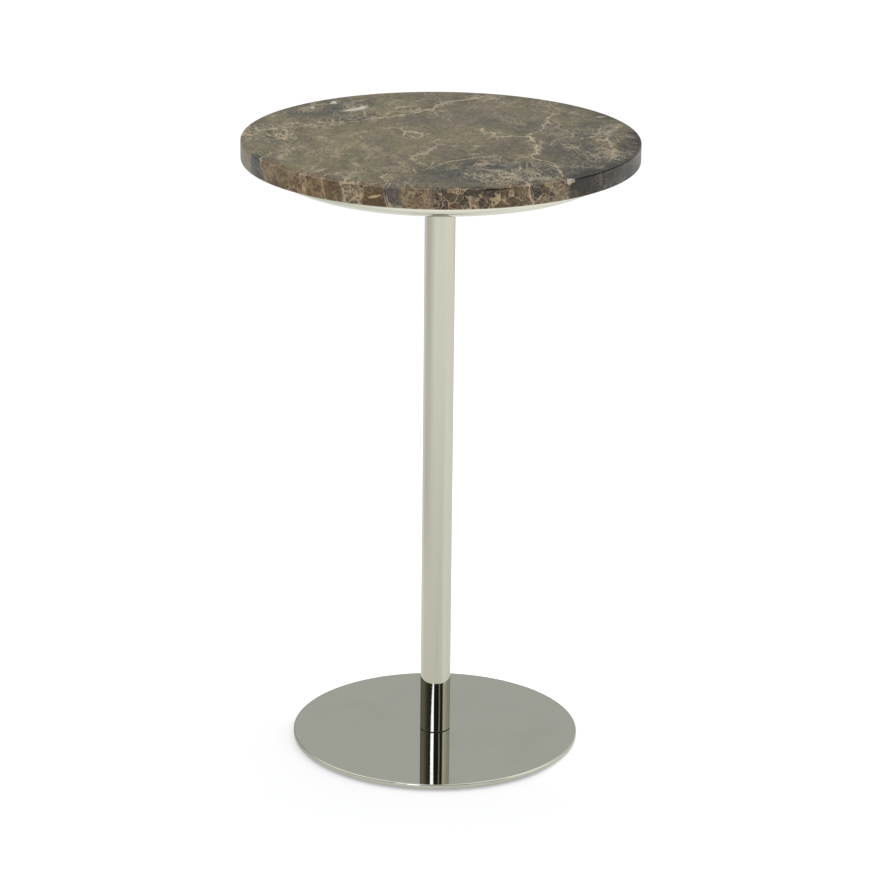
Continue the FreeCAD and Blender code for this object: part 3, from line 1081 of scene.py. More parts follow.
    def _lay_surface(self) -> None:
        """Lays the net, the splinter and the flecks over the ground."""
        stone, graph = self.stone, self.graph
        surface = self.ground * stone.edging_left.of(self.edging)
        busy = self.busy * self.mottle.rise(*stone.busy_mottles) * stone.busy_share
        surface = graph.mix(busy, surface, stone.tan)
        self.net = self.net * stone.net_in_dark.of(self.black)
        vein = graph.mix(self._zone(Zone.BROWN) * stone.amber_share, stone.cream, stone.amber)
        surface = graph.mix(self.net * stone.net_cover.of(self.grain), surface, vein)
        surface = graph.mix(self._splinter(), surface, stone.straw)
        fleck = self._zone(Zone.FLECK) * stone.fleck_mottle.of(self.mottle)
        below = self.depth.fall(*stone.face_depth) * stone.fleck_amber_share
        pale = graph.mix(below, stone.chalk, stone.amber)
        self.surface = graph.mix(fleck.rise(*stone.fleck_levels), surface, pale)

    def _splinter(self) -> Field:
        """The splinter in the edge.

        Returns:
            Its share at each place.
        """
        stone = self.stone
        place = self.raw + stone.splinter_drift.of(self.graph, self.raw)
        oval = self.graph.oval(place, stone.splinter_at, stone.splinter_size, stone.splinter_turn_deg)
        return oval.fall(*stone.splinter_fade) * stone.splinter_share

    def _polish(self) -> Dict[str, Operand]:
        """Adds painted shade on the arris, the dull rim and the honed underside.

        Returns:
            The Principled shader's sockets.
        """
        stone, graph = self.stone, self.graph
        underside = stone.bottom - stone.top
        honed = self.depth.fall(*(underside + height for height in stone.honed_height))
        radius = (self.raw * LEVEL_PLANE).length()
        rim = radius.rise(*(stone.rim - inset for inset in stone.rim_inset))
        # Painted shade: the arris is made dark and metallic so that it reflects almost nothing, a painted
        # dark reflection
        arris = radius.rise(*(stone.rim - inset for inset in stone.painted_arris_shade_inset))
        arris = arris * self.depth.rise(*stone.painted_arris_shade_depth)
        arris = arris * self._zone(Zone.PAINTED_SHADE_ARRIS) * stone.painted_arris_shade_net.of(self.net)
        surface = self.surface * stone.painted_arris_shade_left.of(arris)
        dusty = graph.mix(stone.honed_dust_share, surface, stone.tan)
        roughness = stone.face_roughness + self.net * stone.net_roughness
        roughness = roughness + self.mottle * stone.mottle_roughness + rim * stone.rim_roughness
        return {
            "Base Color": graph.mix(honed, surface, dusty),
            "Metallic": arris * stone.painted_arris_shade_metallic,
            "Roughness": roughness.at_least(honed * stone.honed_roughness),
            "IOR": stone.refraction,
            "Normal": graph.bump(graph.noise(self.raw, stone.polish_waves), stone.polish_height),
        }


@dataclass(frozen=True)
class PlatedScrew(Finish):
    """Nickel-plated steel with turning marks."""

    name: str = "plated_screw_steel"
    tint: Colour = (0.58, 0.56, 0.50)
    worn: Colour = (0.42, 0.40, 0.36)
    haze: Clouds = Clouds(240.0, 3.0, 0.5, 0.4, 0.7)
    haze_share: float = 0.5
    haze_roughness: float = 0.1
    mark_waves: float = 2600.0
    mark_octaves: float = 3.0
    mark_height: float = 0.000004
    roughness: Growth = Growth(0.16, 0.1)

    def paint(self, graph: Graph) -> Dict[str, Operand]:
        """Satin plate with fine marks.

        Args:
            graph: the material's tree.

        Returns:
            The Principled shader's sockets.
        """
        place = graph.coordinates()
        marks = graph.noise(place, self.mark_waves, self.mark_octaves)
        haze = self.haze.share(graph, place)
        return {
            "Base Color": graph.mix(haze * self.haze_share, self.tint, self.worn),
            "Metallic": 1.0,
            "Roughness": self.roughness.of(marks) + haze * self.haze_roughness,
            "Normal": graph.bump(marks, self.mark_height),
        }


@dataclass(frozen=True)
class ZincSteel(Finish):
    """Zinc-plated steel with a mottled, faintly blue skin."""

    name: str = "zinc_plated_steel"
    tint: Colour = (0.55, 0.57, 0.60)
    spangle: Colour = (0.46, 0.47, 0.50)
    spangle_cells: float = 420.0
    mark_waves: float = 1500.0
    mark_octaves: float = 3.0
    mark_height: float = 0.000005
    roughness: Growth = Growth(0.32, 0.12)

    def paint(self, graph: Graph) -> Dict[str, Operand]:
        """Dull plate with spangle.

        Args:
            graph: the material's tree.

        Returns:
            The Principled shader's sockets.
        """
        place = graph.coordinates()
        spangle = graph.cells(place, self.spangle_cells, "Color").part("X")
        marks = graph.noise(place, self.mark_waves, self.mark_octaves)
        return {
            "Base Color": graph.mix(spangle, self.tint, self.spangle),
            "Metallic": 1.0,
            "Roughness": self.roughness.of(spangle),
            "Normal": graph.bump(marks, self.mark_height),
        }


@dataclass(frozen=True)
class BirchPlywood(Finish):
    """Raw plywood: grain on the faces and pale and dark plies on the edge."""

    name: str = "birch_plywood"
    pale: Colour = (0.60, 0.45, 0.27)
    ring: Colour = (0.42, 0.28, 0.15)
    ring_levels: Point = (0.35, 0.7)
    glue: Colour = (0.20, 0.12, 0.07)
    glue_share: float = 0.7
    glue_fade: Point = (0.05, 0.12)
    ply: float = 0.0016
    grain_waves: Triple = (12.0, 160.0, 160.0)
    grain_octaves: float = 5.0
    grain_sharpness: float = 0.6
    grain_height: float = 0.00008
    roughness: Growth = Growth(0.62, 0.15)

    def paint(self, graph: Graph) -> Dict[str, Operand]:
        """Grain stretched along X, with a glue line at every ply.

        Args:
            graph: the material's tree.

        Returns:
            The Principled shader's sockets.
        """
        place = graph.coordinates()
        grain = graph.noise(place * self.grain_waves, 1.0, self.grain_octaves, self.grain_sharpness)
        height = place.part("Z") / self.ply
        line = abs(height - height.rounded()).fall(*self.glue_fade)
        wood = graph.mix(grain.rise(*self.ring_levels), self.pale, self.ring)
        return {
            "Base Color": graph.mix(line * self.glue_share, wood, self.glue),
            "Roughness": self.roughness.of(grain),
            "Normal": graph.bump(grain, self.grain_height),
        }


@dataclass(frozen=True)
class TurnedBrass(Finish):
    """Turned brass, slightly tarnished."""

    name: str = "turned_brass"
    tint: Colour = (0.72, 0.53, 0.25)
    tarnish: Colour = (0.42, 0.29, 0.13)
    spots: Clouds = Clouds(300.0, 4.0, 0.5, 0.45, 0.7)
    roughness: Growth = Growth(0.25, 0.2)

    def paint(self, graph: Graph) -> Dict[str, Operand]:
        """Brass with tarnish in soft patches.

        Args:
            graph: the material's tree.

        Returns:
            The Principled shader's sockets.
        """
        spots = self.spots.share(graph, graph.coordinates())
        return {
            "Base Color": graph.mix(spots, self.tint, self.tarnish),
            "Metallic": 1.0,
            "Roughness": self.roughness.of(spots),
        }


@dataclass(frozen=True)
class SoftFill(Finish):
    """A dull, soft material with a mottled surface, such as adhesive, gasket fibre or felt."""

    name: str
    light: Colour
    deep: Colour
    fibre_waves: float
    roughness: float
    height: float
    fibre_octaves: float = 5.0
    fibre_sharpness: float = 0.7
    fibre_levels: Point = (0.35, 0.65)
    fibre_roughness: float = 0.1

    def paint(self, graph: Graph) -> Dict[str, Operand]:
        """Mottled colour with a fibrous bump.

        Args:
            graph: the material's tree.

        Returns:
            The Principled shader's sockets.
        """
        place = graph.coordinates()
        fibre = graph.noise(place, self.fibre_waves, self.fibre_octaves, self.fibre_sharpness)
        return {
            "Base Color": graph.mix(fibre.rise(*self.fibre_levels), self.deep, self.light),
            "Roughness": self.roughness + fibre * self.fibre_roughness,
            "Normal": graph.bump(fibre, self.height),
        }


ADHESIVE = SoftFill("pale_elastic_adhesive", (0.72, 0.71, 0.67), (0.64, 0.63, 0.58), 250.0, 0.4, 0.0001)
GASKET = SoftFill("black_gasket_fibre", (0.030, 0.029, 0.028), (0.016, 0.016, 0.016), 900.0, 0.7, 0.00002)
FELT = SoftFill("wool_felt", (0.105, 0.095, 0.085), (0.05, 0.045, 0.04), 1400.0, 0.85, 0.0002)


class Profile:
    """The outline of a turned piece, as radius and height in metres, followed point by point."""

    LONG_RUN = 6.0

    def __init__(self, hold: float = PLAIN_HOLD) -> None:
        """Starts an empty outline; hold is how close to a corner a straight run is held flat."""
        self.hold = hold
        self.points: List[Point] = []

    def to(self, radius: float, height: float) -> "Profile":
        """Goes straight to a point, with a holding point near each end of a long run.

        Args:
            radius: how far the point is from the axis.
            height: its height.

        Returns:
            The profile itself.
        """
        if self.points:
            last = Vector(self.points[-1])
            run = Vector((radius, height)) - last
            if run.length > self.LONG_RUN * self.hold:
                step = run.normalized() * self.hold
                self.points.append(tuple(last + step))
                self.points.append((radius - step.x, height - step.y))
        self.points.append((radius, height))
        return self

    def arc(self, centre: Point, radius: float, first_deg: float, last_deg: float, steps: int) -> "Profile":
        """Follows an arc about a centre.

        Args:
            centre: radius and height of the arc's centre.
            radius: the arc's radius.
            first_deg: where it starts, in degrees up from straight out.
            last_deg: where it ends.
            steps: how many straight steps stand for it.

        Returns:
            The profile itself.
        """
        for k in range(steps + 1):
            angle = math.radians(first_deg + (last_deg - first_deg) * k / steps)
            place = (centre[0] + radius * math.cos(angle), centre[1] + radius * math.sin(angle))
            if k == 0:
                self.to(*place)
            else:
                self.points.append(place)
        return self

    def round_under(self, rim: float, foot: float, rounding: float, steps: int) -> "Profile":
        """Goes to a rim's lower edge and round it, from foot level up to the rim."""
        return self.arc((rim - rounding, foot + rounding), rounding, -90.0, 0.0, steps)

    def round_over(self, rim: float, head: float, rounding: float, steps: int) -> "Profile":
        """Goes up a rim and round its upper edge, on to head level."""
        return self.arc((rim - rounding, head - rounding), rounding, 0.0, 90.0, steps)


class NodeTree:
    """A geometry tree with named inputs, built once and used by several pieces."""

    def __init__(self, name: str, inputs: Dict[str, str]) -> None:
        """Makes the tree and its sockets.

        Args:
            name: the tree's name.
            inputs: socket types by name, after the geometry.
        """
        self.tree = bpy.data.node_groups.new(name, "GeometryNodeTree")
        sockets = self.tree.interface
        sockets.new_socket("Geometry", in_out="INPUT", socket_type="NodeSocketGeometry")
        for label, kind in inputs.items():
            sockets.new_socket(label, in_out="INPUT", socket_type=kind)
        sockets.new_socket("Geometry", in_out="OUTPUT", socket_type="NodeSocketGeometry")
        self.graph = Graph(self.tree)
        self.entry = self.graph.node("NodeGroupInput", {}, {})

    def given(self, label: str) -> Field:
        """One of the tree's inputs."""
        return Field(self.graph, self.entry.outputs[label])

    def close(self, geometry: Field) -> None:
        """Realizes what was made, gives it its material and ends the tree.

        Args:
            geometry: what the tree has made.
        """
        real = self.graph.field("GeometryNodeRealizeInstances", {}, {"Geometry": geometry})
        inputs = {"Geometry": real, "Material": self.given("Material")}
        dressed = self.graph.field("GeometryNodeSetMaterial", {}, inputs)
        self.graph.node("NodeGroupOutput", {}, {"Geometry": dressed})

    def make(self, name: str, seed_mesh: bpy.types.Mesh, values: Dict[str, Any]) -> bpy.types.Object:
        """Runs the tree on a mesh and keeps the result as a plain mesh.

        Args:
            name: the finished piece's name.
            seed_mesh: what goes into the tree.
            values: the tree's inputs by name.

        Returns:
            The finished object, at the origin and with no modifier.
        """
        piece = bpy.data.objects.new(name, seed_mesh)
        bpy.context.scene.collection.objects.link(piece)
        modifier = piece.modifiers.new("build", "NODES")
        modifier.node_group = self.tree
        for item in self.tree.interface.items_tree:
            if item.in_out == "INPUT" and item.name in values:
                modifier[item.identifier] = values[item.name]
        graph = bpy.context.evaluated_depsgraph_get()
        mesh = bpy.data.meshes.new_from_object(piece.evaluated_get(graph))
        piece.modifiers.remove(modifier)
        piece.data = mesh
        mesh.name = name
        mesh.materials.clear()
        mesh.materials.append(values["Material"])
        mesh.polygons.foreach_set("material_index", [0] * len(mesh.polygons))
        bpy.data.meshes.remove(seed_mesh)
        turn_outwards(mesh)
        return piece


def turn_outwards(mesh: bpy.types.Mesh) -> None:
    """Merges doubles, points all faces outwards and keeps hard corners hard.

    Args:
        mesh: the mesh, which is changed in place.
    """
    work = bmesh.new()
    work.from_mesh(mesh)
    bmesh.ops.remove_doubles(work, verts=work.verts, dist=JOIN_DISTANCE)
    bmesh.ops.dissolve_degenerate(work, edges=work.edges, dist=SLIVER_LENGTH)
    bmesh.ops.recalc_face_normals(work, faces=work.faces)
    for face in work.faces:
        face.smooth = True
    work.to_mesh(mesh)
    work.free()
    mesh.set_sharp_from_angle(angle=math.radians(HARD_CORNER_DEG))


class TurnedTree(NodeTree):
    """Turns an outline about the Z axis."""

    def __init__(self) -> None:
        """Lays a grid of turns by outline points and wraps it round the axis."""
        super().__init__("turned_piece", {"Segments": "NodeSocketInt", "Material": "NodeSocketMaterial"})
        graph = self.graph
        outline = self.given("Geometry")
        count = graph.field("GeometryNodeAttributeDomainSize", {}, {"Geometry": outline}, "Point Count")
        turns = self.given("Segments") + 1.0
        grid_inputs = {"Size X": 1.0, "Size Y": 1.0, "Vertices X": turns, "Vertices Y": count}
        grid = graph.field("GeometryNodeMeshGrid", {}, grid_inputs)
        spot = graph.field("GeometryNodeInputPosition", {}, {})
        turn = (spot.part("X") + 0.5) * math.tau
        step = (spot.part("Y") + 0.5) * (count - 1.0)
        inputs = {"Geometry": outline, "Value": spot, "Index": step.rounded()}
        sampled = graph.field("GeometryNodeSampleIndex", {"data_type": "FLOAT_VECTOR"}, inputs, "Value")
        radius = sampled.part("X")
        parts = {"X": radius * turn.cosine(), "Y": radius * turn.sine(), "Z": sampled.part("Z")}
        place = graph.field("ShaderNodeCombineXYZ", {}, parts)
        wrapped = graph.field("GeometryNodeSetPosition", {}, {"Geometry": grid, "Position": place})
        joining = {"Geometry": wrapped, "Distance": JOIN_DISTANCE}
        merged = graph.field("GeometryNodeMergeByDistance", {}, joining)
        self.close(graph.field("GeometryNodeSetShadeSmooth", {}, {"Geometry": merged}))

    def turn(self, name: str, profile: Profile, finish: Finish, segments: int) -> bpy.types.Object:
        """Makes one turned piece.

        Args:
            name: the piece's name.
            profile: its outline.
            finish: its finish.
            segments: how many steps go round it.

        Returns:
            The piece.
        """
        mesh = bpy.data.meshes.new(name + "_outline")
        corners = [(radius, 0.0, height) for radius, height in profile.points]
        mesh.from_pydata(corners, [(k, k + 1) for k in range(len(corners) - 1)], [])
        return self.make(name, mesh, {"Segments": segments, "Material": finish.material()})


class RingTree(NodeTree):
    """Sets copies of one piece round a circle, each at its own turn."""

    def __init__(self) -> None:
        """Instances the incoming piece on the points of a circle."""
        inputs = {
            "Count": "NodeSocketInt",
            "Ring Radius": "NodeSocketFloat",
            "First Turn": "NodeSocketFloat",
            "Spread": "NodeSocketFloat",
            "Seed": "NodeSocketInt",
            "Material": "NodeSocketMaterial",
        }
        super().__init__("ring_of_pieces", inputs)
        graph = self.graph
        circle_inputs = {"Vertices": self.given("Count"), "Radius": self.given("Ring Radius")}
        circle = graph.field("GeometryNodeMeshCircle", {}, circle_inputs)
        lean = graph.field("ShaderNodeCombineXYZ", {}, {"Z": self.given("First Turn")})
        turned = graph.field("GeometryNodeTransform", {}, {"Geometry": circle, "Rotation": lean})
        draw = {"Min_001": 0.0, "Max_001": self.given("Spread"), "Seed": self.given("Seed")}
        drawn = graph.field("FunctionNodeRandomValue", {"data_type": "FLOAT"}, draw, "Value_001")
        spin = graph.field("ShaderNodeCombineXYZ", {}, {"Z": drawn})
        copies = {"Points": turned, "Instance": self.given("Geometry"), "Rotation": spin}
        self.close(graph.field("GeometryNodeInstanceOnPoints", {}, copies))

    def repeat(
        self, piece: bpy.types.Object, name: str, count: int, radius: float, first_deg: float, seed: int
    ) -> bpy.types.Object:
        """Sets copies of a piece round a circle; the piece itself is used up.

        Args:
            piece: the piece, on the Z axis.
            name: the finished ring's name.
            count: how many copies there are.
            radius: the circle's radius.
            first_deg: the first copy's turn from the X axis.
            seed: what draws each copy's own turn.

        Returns:
            The ring of copies.
        """
        mesh = piece.data
        bpy.data.objects.remove(piece)
        values = {
            "Count": count,
            "Ring Radius": radius,
            "First Turn": math.radians(first_deg),
            "Spread": math.tau,
            "Seed": seed,
            "Material": mesh.materials[0],
        }
        return self.make(name, mesh, values)


def hand_over(piece: bpy.types.Object, slot: str, *nodes: str) -> None:
    """Gives a finished piece to the frame.

    Args:
        piece: the finished piece.
        slot: the record's material slot; not used.
        nodes: the frame's nodes that it stands for.
    """
    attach(piece, BODY)
    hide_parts(*nodes)
    LOG.info("piece %s: %d faces, for %s", piece.name, len(piece.data.polygons), ", ".join(nodes))


def hexagon_point(angle: float, corner: float) -> Point:
    """The point of a hexagon's outline in one direction.

    Args:
        angle: the direction, in radians.
        corner: how far its corners are from the middle.

    Returns:
        The point.
    """
    sector = math.pi / 3.0
    off = (angle % sector) - sector / 2.0
    radius = corner * math.cos(sector / 2.0) / math.cos(off)
    return radius * math.cos(angle), radius * math.sin(angle)


@dataclass(frozen=True)
class HexagonSocket:
    """A hexagon socket with a drill point, sunk up into the flat underside of a turned screw.

    The drill point's height is a share of the size across the flats.
    """

    flats: float
    depth: float
    drill_point: float = 0.12
    straight_down: float = -0.99
    level_within: float = 1e-6

    def cut(self, piece: bpy.types.Object, face: float) -> None:
        """Sinks the socket.

        Args:
            piece: the screw, on the Z axis.
            face: the height of its flat underside.
        """
        work = bmesh.new()
        work.from_mesh(piece.data)
        rim = self._open(work, face)
        corner = self.flats / math.sqrt(3.0)
        outline = [hexagon_point(math.atan2(v.co.y, v.co.x), corner) for v in rim]
        mouth = [work.verts.new((*point, face)) for point in outline]
        floor = [work.verts.new((*point, face + self.depth)) for point in outline]
        tip = work.verts.new((0.0, 0.0, face + self.depth + self.flats * self.drill_point))
        for k in range(len(rim)):
            work.faces.new((rim[k - 1], mouth[k - 1], mouth[k], rim[k]))
            work.faces.new((mouth[k - 1], floor[k - 1], floor[k], mouth[k]))
            work.faces.new((floor[k - 1], tip, floor[k]))
        work.to_mesh(piece.data)
        work.free()
        turn_outwards(piece.data)

    def _open(self, work: bmesh.types.BMesh, face: float) -> List[bmesh.types.BMVert]:
        """Takes the flat underside away.

        Args:
            work: the screw's mesh.
            face: the height of its flat underside.

        Returns:
            The points round the opening, in order.
        """
        low = [f for f in work.faces if abs(f.calc_center_median().z - face) < self.level_within]
        under = [f for f in low if f.normal.z < self.straight_down]
        points = {v for f in under for v in f.verts}
        reach = max(v.co.xy.length for v in points)
        outer = [v for v in points if v.co.xy.length > reach - JOIN_DISTANCE]
        bmesh.ops.delete(work, geom=under, context="FACES_ONLY")
        bmesh.ops.delete(work, geom=[v for v in work.verts if not v.link_faces], context="VERTS")
        return sorted(outer, key=lambda v: math.atan2(v.co.y, v.co.x))


@dataclass
class StoneTop:
    """The marble disc."""

    top_edge: float = 0.0016
    top_steps: int = 8
    lower_edge: float = 0.0010
    lower_steps: int = 6
    segments: int = 320

    def build(self, lathe: TurnedTree) -> None:
        """Turns the disc with its two eased edges and dresses it in marble.

        Args:
            lathe: turns outlines.
        """
        low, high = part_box("marble_top")
        rim = high.x
        profile = Profile().to(0.0, low.z)
        profile.round_under(rim, low.z, self.lower_edge, self.lower_steps)
        profile.round_over(rim, high.z, self.top_edge, self.top_steps)
        profile.to(0.0, high.z)
        finish = BrownMarble(top=high.z, bottom=low.z, rim=rim)
        hand_over(lathe.turn("stone_top", profile, finish, self.segments), "brown_marble", "marble_top")


@dataclass
class UnderDish:
    """The spun dish: straight rim, tight knuckle, wide shoulder and flat bottom."""

    wall: float = 0.0012
    knuckle: float = 0.005
    shoulder: float = 0.025
    sweep_deg: float = 51.0
    bore: float = 0.0044
    outer_steps: int = 10
    inner_steps: int = 8
    segments: int = 320
    # Painted light: the dish's nickel is tinted brighter than the same nickel on the tube and the plate
    finish: PolishedNickel = PolishedNickel(
        name="mirror_nickel_painted_brighter", tint=(0.575, 0.568, 0.484), haze_tint=(0.555, 0.548, 0.466)
    )

    def _skin(self, profile: Profile, inset: float, outward: bool) -> None:
        """Follows one skin of the dish.

        Args:
            profile: the outline so far.
            inset: how far the skin lies inside the outer one.
            outward: from the bore out to the rim, or else back.
        """
        low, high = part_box("under_dish")
        sweep = math.radians(self.sweep_deg)
        step = self.shoulder - self.knuckle
        knuckle_r = high.x - self.knuckle
        shoulder_r = knuckle_r - step * math.cos(sweep)
        shoulder_z = low.z + self.shoulder
        knuckle_z = shoulder_z - step * math.sin(sweep)
        wide = ((shoulder_r, shoulder_z), self.shoulder - inset)
        tight = ((knuckle_r, knuckle_z), self.knuckle - inset)
        if outward:
            profile.to(self.bore, low.z + inset)
            profile.arc(*wide, -90.0, -self.sweep_deg, self.outer_steps)
            profile.arc(*tight, -self.sweep_deg, 0.0, self.outer_steps)
            profile.to(high.x - inset, high.z)
        else:
            profile.to(high.x - inset, high.z)
            profile.arc(*tight, 0.0, -self.sweep_deg, self.inner_steps)
            profile.arc(*wide, -self.sweep_deg, -90.0, self.inner_steps)
            profile.to(self.bore, low.z + inset)

    def build(self, lathe: TurnedTree) -> None:
        """Turns the dish as a closed shell and polishes it.

        Args:
            lathe: turns outlines.
        """
        profile = Profile()
        self._skin(profile, 0.0, True)
        self._skin(profile, self.wall, False)
        profile.to(*profile.points[0])
        piece = lathe.turn("polished_dish", profile, self.finish, self.segments)
        hand_over(piece, "polished_nickel", "under_dish")


@dataclass
class Column:
    """The polished tube and the gasket at its foot."""

    wall: float = 0.002
    arris: float = 0.0004
    arris_steps: int = 4
    gasket_bore: float = 0.0044
    segments: int = 192
    finish: PolishedNickel = PolishedNickel(
        name="rippled_mirror_nickel",
        tint=(0.488, 0.479, 0.388),
        haze_tint=(0.440, 0.438, 0.384),
        mirror_roughness=0.018,
        haze_roughness=0.012,
        ripple_height=0.0003,
        ripple_waves=(60.0, 60.0, 12.0),
        haze_waves=(110.0, 110.0, 2.5),
    )

    def build(self, lathe: TurnedTree) -> None:
        """Turns the tube and the gasket."""
        self._tube(lathe)
        self._gasket(lathe)

    def _tube(self, lathe: TurnedTree) -> None:
        """Turns the tube, with broken arrises at both ends.

        Args:
            lathe: turns outlines.
        """
        low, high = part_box("column_tube")
        radius, bore = high.x, high.x - self.wall
        profile = Profile(FINE_HOLD).to(bore, low.z)
        profile.round_under(radius, low.z, self.arris, self.arris_steps)
        profile.round_over(radius, high.z, self.arris, self.arris_steps)
        profile.to(bore, high.z).to(bore, low.z)
        # The tube's foot gets painted shade at its seam with the gasket
        finish = replace(self.finish, seam=low.z)
        piece = lathe.turn("polished_column", profile, finish, self.segments)
        hand_over(piece, "polished_nickel", "column_tube")

    def _gasket(self, lathe: TurnedTree) -> None:
        """Turns the thin ring between foot plate and tube.

        Args:
            lathe: turns outlines.
        """
        low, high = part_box("column_gasket")
        bore = self.gasket_bore
        profile = Profile(THIN_HOLD).to(bore, low.z).to(high.x, low.z).to(high.x, high.z)
        profile.to(bore, high.z).to(bore, low.z)
        hand_over(lathe.turn("foot_gasket", profile, GASKET, self.segments), "gasket_fibre", "column_gasket")


@dataclass
class FootPlate:
    """The thin polished foot, its countersunk screw and the felt pads under it."""

    edge: float = 0.0012
    edge_steps: int = 8
    bore: float = 0.0044
    seat: float = 0.008
    seat_depth: float = 0.004
    segments: int = 320
    shank: float = 0.004
    screw_edge: float = 0.0003
    screw_tip: float = 0.0008
    screw_segments: int = 96
    socket: HexagonSocket = HexagonSocket(flats=0.005, depth=0.0026)
    pad_count: int = 6
    pad_rounding: float = 0.0006
    pad_steps: int = 4
    pad_segments: int = 64
    pad_seed: int = 5

    def build(self, lathe: TurnedTree, ring: RingTree) -> None:
        """Turns the plate, then sets its screw and pads.

        Args:
            lathe: turns outlines.
            ring: sets copies in a ring.
        """
        self._plate(lathe)
        self._screw(lathe)
        self._pads(lathe, ring)

    def _plate(self, lathe: TurnedTree) -> None:
        """Turns the plate, with eased edges and a countersunk hole from beneath.

        Args:
            lathe: turns outlines.
        """
        low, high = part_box("base_plate")
        neck = low.z + self.seat_depth
        profile = Profile().to(self.bore, high.z).to(self.bore, neck)
        profile.to(self.shank, neck).to(self.seat, low.z)
        profile.round_under(high.x, low.z, self.edge, self.edge_steps)
        profile.round_over(high.x, high.z, self.edge, self.edge_steps)
        profile.to(self.bore, high.z)
        piece = lathe.turn("polished_foot_plate", profile, PolishedNickel(), self.segments)
        hand_over(piece, "polished_nickel", "base_plate")

    def _screw(self, lathe: TurnedTree) -> None:
        """Turns the countersunk screw and sinks its socket.

        Args:
            lathe: turns outlines.
        """
        low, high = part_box("base_screw")
        profile = Profile(FINE_HOLD).to(0.0, low.z).to(self.seat - self.screw_edge, low.z)
        profile.to(self.seat, low.z + self.screw_edge).to(self.shank, low.z + self.seat_depth)
        profile.to(self.shank, high.z - self.screw_tip).to(self.shank - self.screw_tip, high.z)
        profile.to(0.0, high.z)
        piece = lathe.turn("foot_screw", profile, PlatedScrew(), self.screw_segments)
        self.socket.cut(piece, low.z)
        hand_over(piece, "screw_nickel", "base_screw")

    def _pads(self, lathe: TurnedTree, ring: RingTree) -> None:
        """Turns one felt pad with soft edges and sets it in a ring under the rim.

        Args:
            lathe: turns outlines.
            ring: sets copies in a ring.
        """
        names = [f"felt_pad_{k + 1}" for k in range(self.pad_count)]
        low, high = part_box(names[0])
        centre = (low + high) / 2.0
        radius = (high.x - low.x) / 2.0
        profile = Profile().to(0.0, low.z)
        profile.round_under(radius, low.z, self.pad_rounding, self.pad_steps)
        profile.round_over(radius, high.z, self.pad_rounding, self.pad_steps)
        profile.to(0.0, high.z)
        pad = lathe.turn("felt_pad", profile, FELT, self.pad_segments)
        pads = ring.repeat(pad, "felt_pads", self.pad_count, centre.x, 0.0, self.pad_seed)
        hand_over(pads, "felt", *names)


@dataclass
class TopFixings:
    """The button-head screws and washers under the dish."""

    count: int = 4
    ring_radius: float = 0.045
    first_turn_deg: float = 45.0
    segments: int = 72
    head: float = 0.00525
    head_height: float = 0.0033
    crown: float = 0.0022
    crown_steps: int = 8
    shank: float = 0.003
    screw_tip: float = 0.0006
    screw_seed: int = 11
    socket: HexagonSocket = HexagonSocket(flats=0.004, depth=0.002)
    washer: float = 0.0065
    washer_bore: float = 0.0034
    washer_edge: float = 0.0003
    washer_steps: int = 4
    washer_seed: int = 12
    finish: PlatedScrew = PlatedScrew()

    def build(self, lathe: TurnedTree, ring: RingTree) -> None:
        """Turns one screw and one washer and sets each round the ring.

        Args:
            lathe: turns outlines.
            ring: sets copies in a ring.
        """
        pattern = (self.count, self.ring_radius, self.first_turn_deg)
        screws = ring.repeat(self._screw(lathe), "fixing_screw_ring", *pattern, self.screw_seed)
        hand_over(screws, "screw_nickel", "fixing_screws")
        washers = ring.repeat(self._washer(lathe), "fixing_washer_ring", *pattern, self.washer_seed)
        hand_over(washers, "screw_nickel", "fixing_washers")

    def _screw(self, lathe: TurnedTree) -> bpy.types.Object:
        """Turns one button-head screw on the axis.

        Args:
            lathe: turns outlines.

        Returns:
            The screw.
        """
        low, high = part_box("fixing_screws")
        seat = low.z + self.head_height
        profile = Profile(FINE_HOLD).to(0.0, low.z)
        profile.round_under(self.head, low.z, self.crown, self.crown_steps)
        profile.to(self.head, seat).to(self.shank, seat).to(self.shank, high.z - self.screw_tip)
        profile.to(self.shank - self.screw_tip, high.z).to(0.0, high.z)
        piece = lathe.turn("fixing_screw", profile, self.finish, self.segments)
        self.socket.cut(piece, low.z)
        return piece

    def _washer(self, lathe: TurnedTree) -> bpy.types.Object:
        """Turns one flat washer on the axis.

        Args:
            lathe: turns outlines.

        Returns:
            The washer.
        """
        low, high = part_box("fixing_washers")
        profile = Profile(THIN_HOLD).to(self.washer_bore, low.z)
        profile.round_under(self.washer, low.z, self.washer_edge, self.washer_steps)
        profile.round_over(self.washer, high.z, self.washer_edge, self.washer_steps)
        profile.to(self.washer_bore, high.z).to(self.washer_bore, low.z)
        return lathe.turn("fixing_washer", profile, self.finish, self.segments)


@dataclass
class HiddenPieces:
    """The pieces inside the dish and the tube, which keep their own shapes."""

    finishes: Dict[str, Finish] = field(
        default_factory=lambda: {
            "core_disc": BirchPlywood(),
            "core_inserts": TurnedBrass(),
            "adhesive_dabs": ADHESIVE,
            "mounting_plate": ZincSteel(),
            "column_bolt": ZincSteel(),
            "bolt_washer": ZincSteel(),
            "upper_plug": ZincSteel(),
            "lower_plug": ZincSteel(),
        }
    )

    def dress(self) -> None:
        """Gives each piece its finish."""
        for name, finish in self.finishes.items():
            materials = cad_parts[name].data.materials
            materials.clear()
            materials.append(finish.material())
            LOG.info("node %s: %s", name, finish.name)


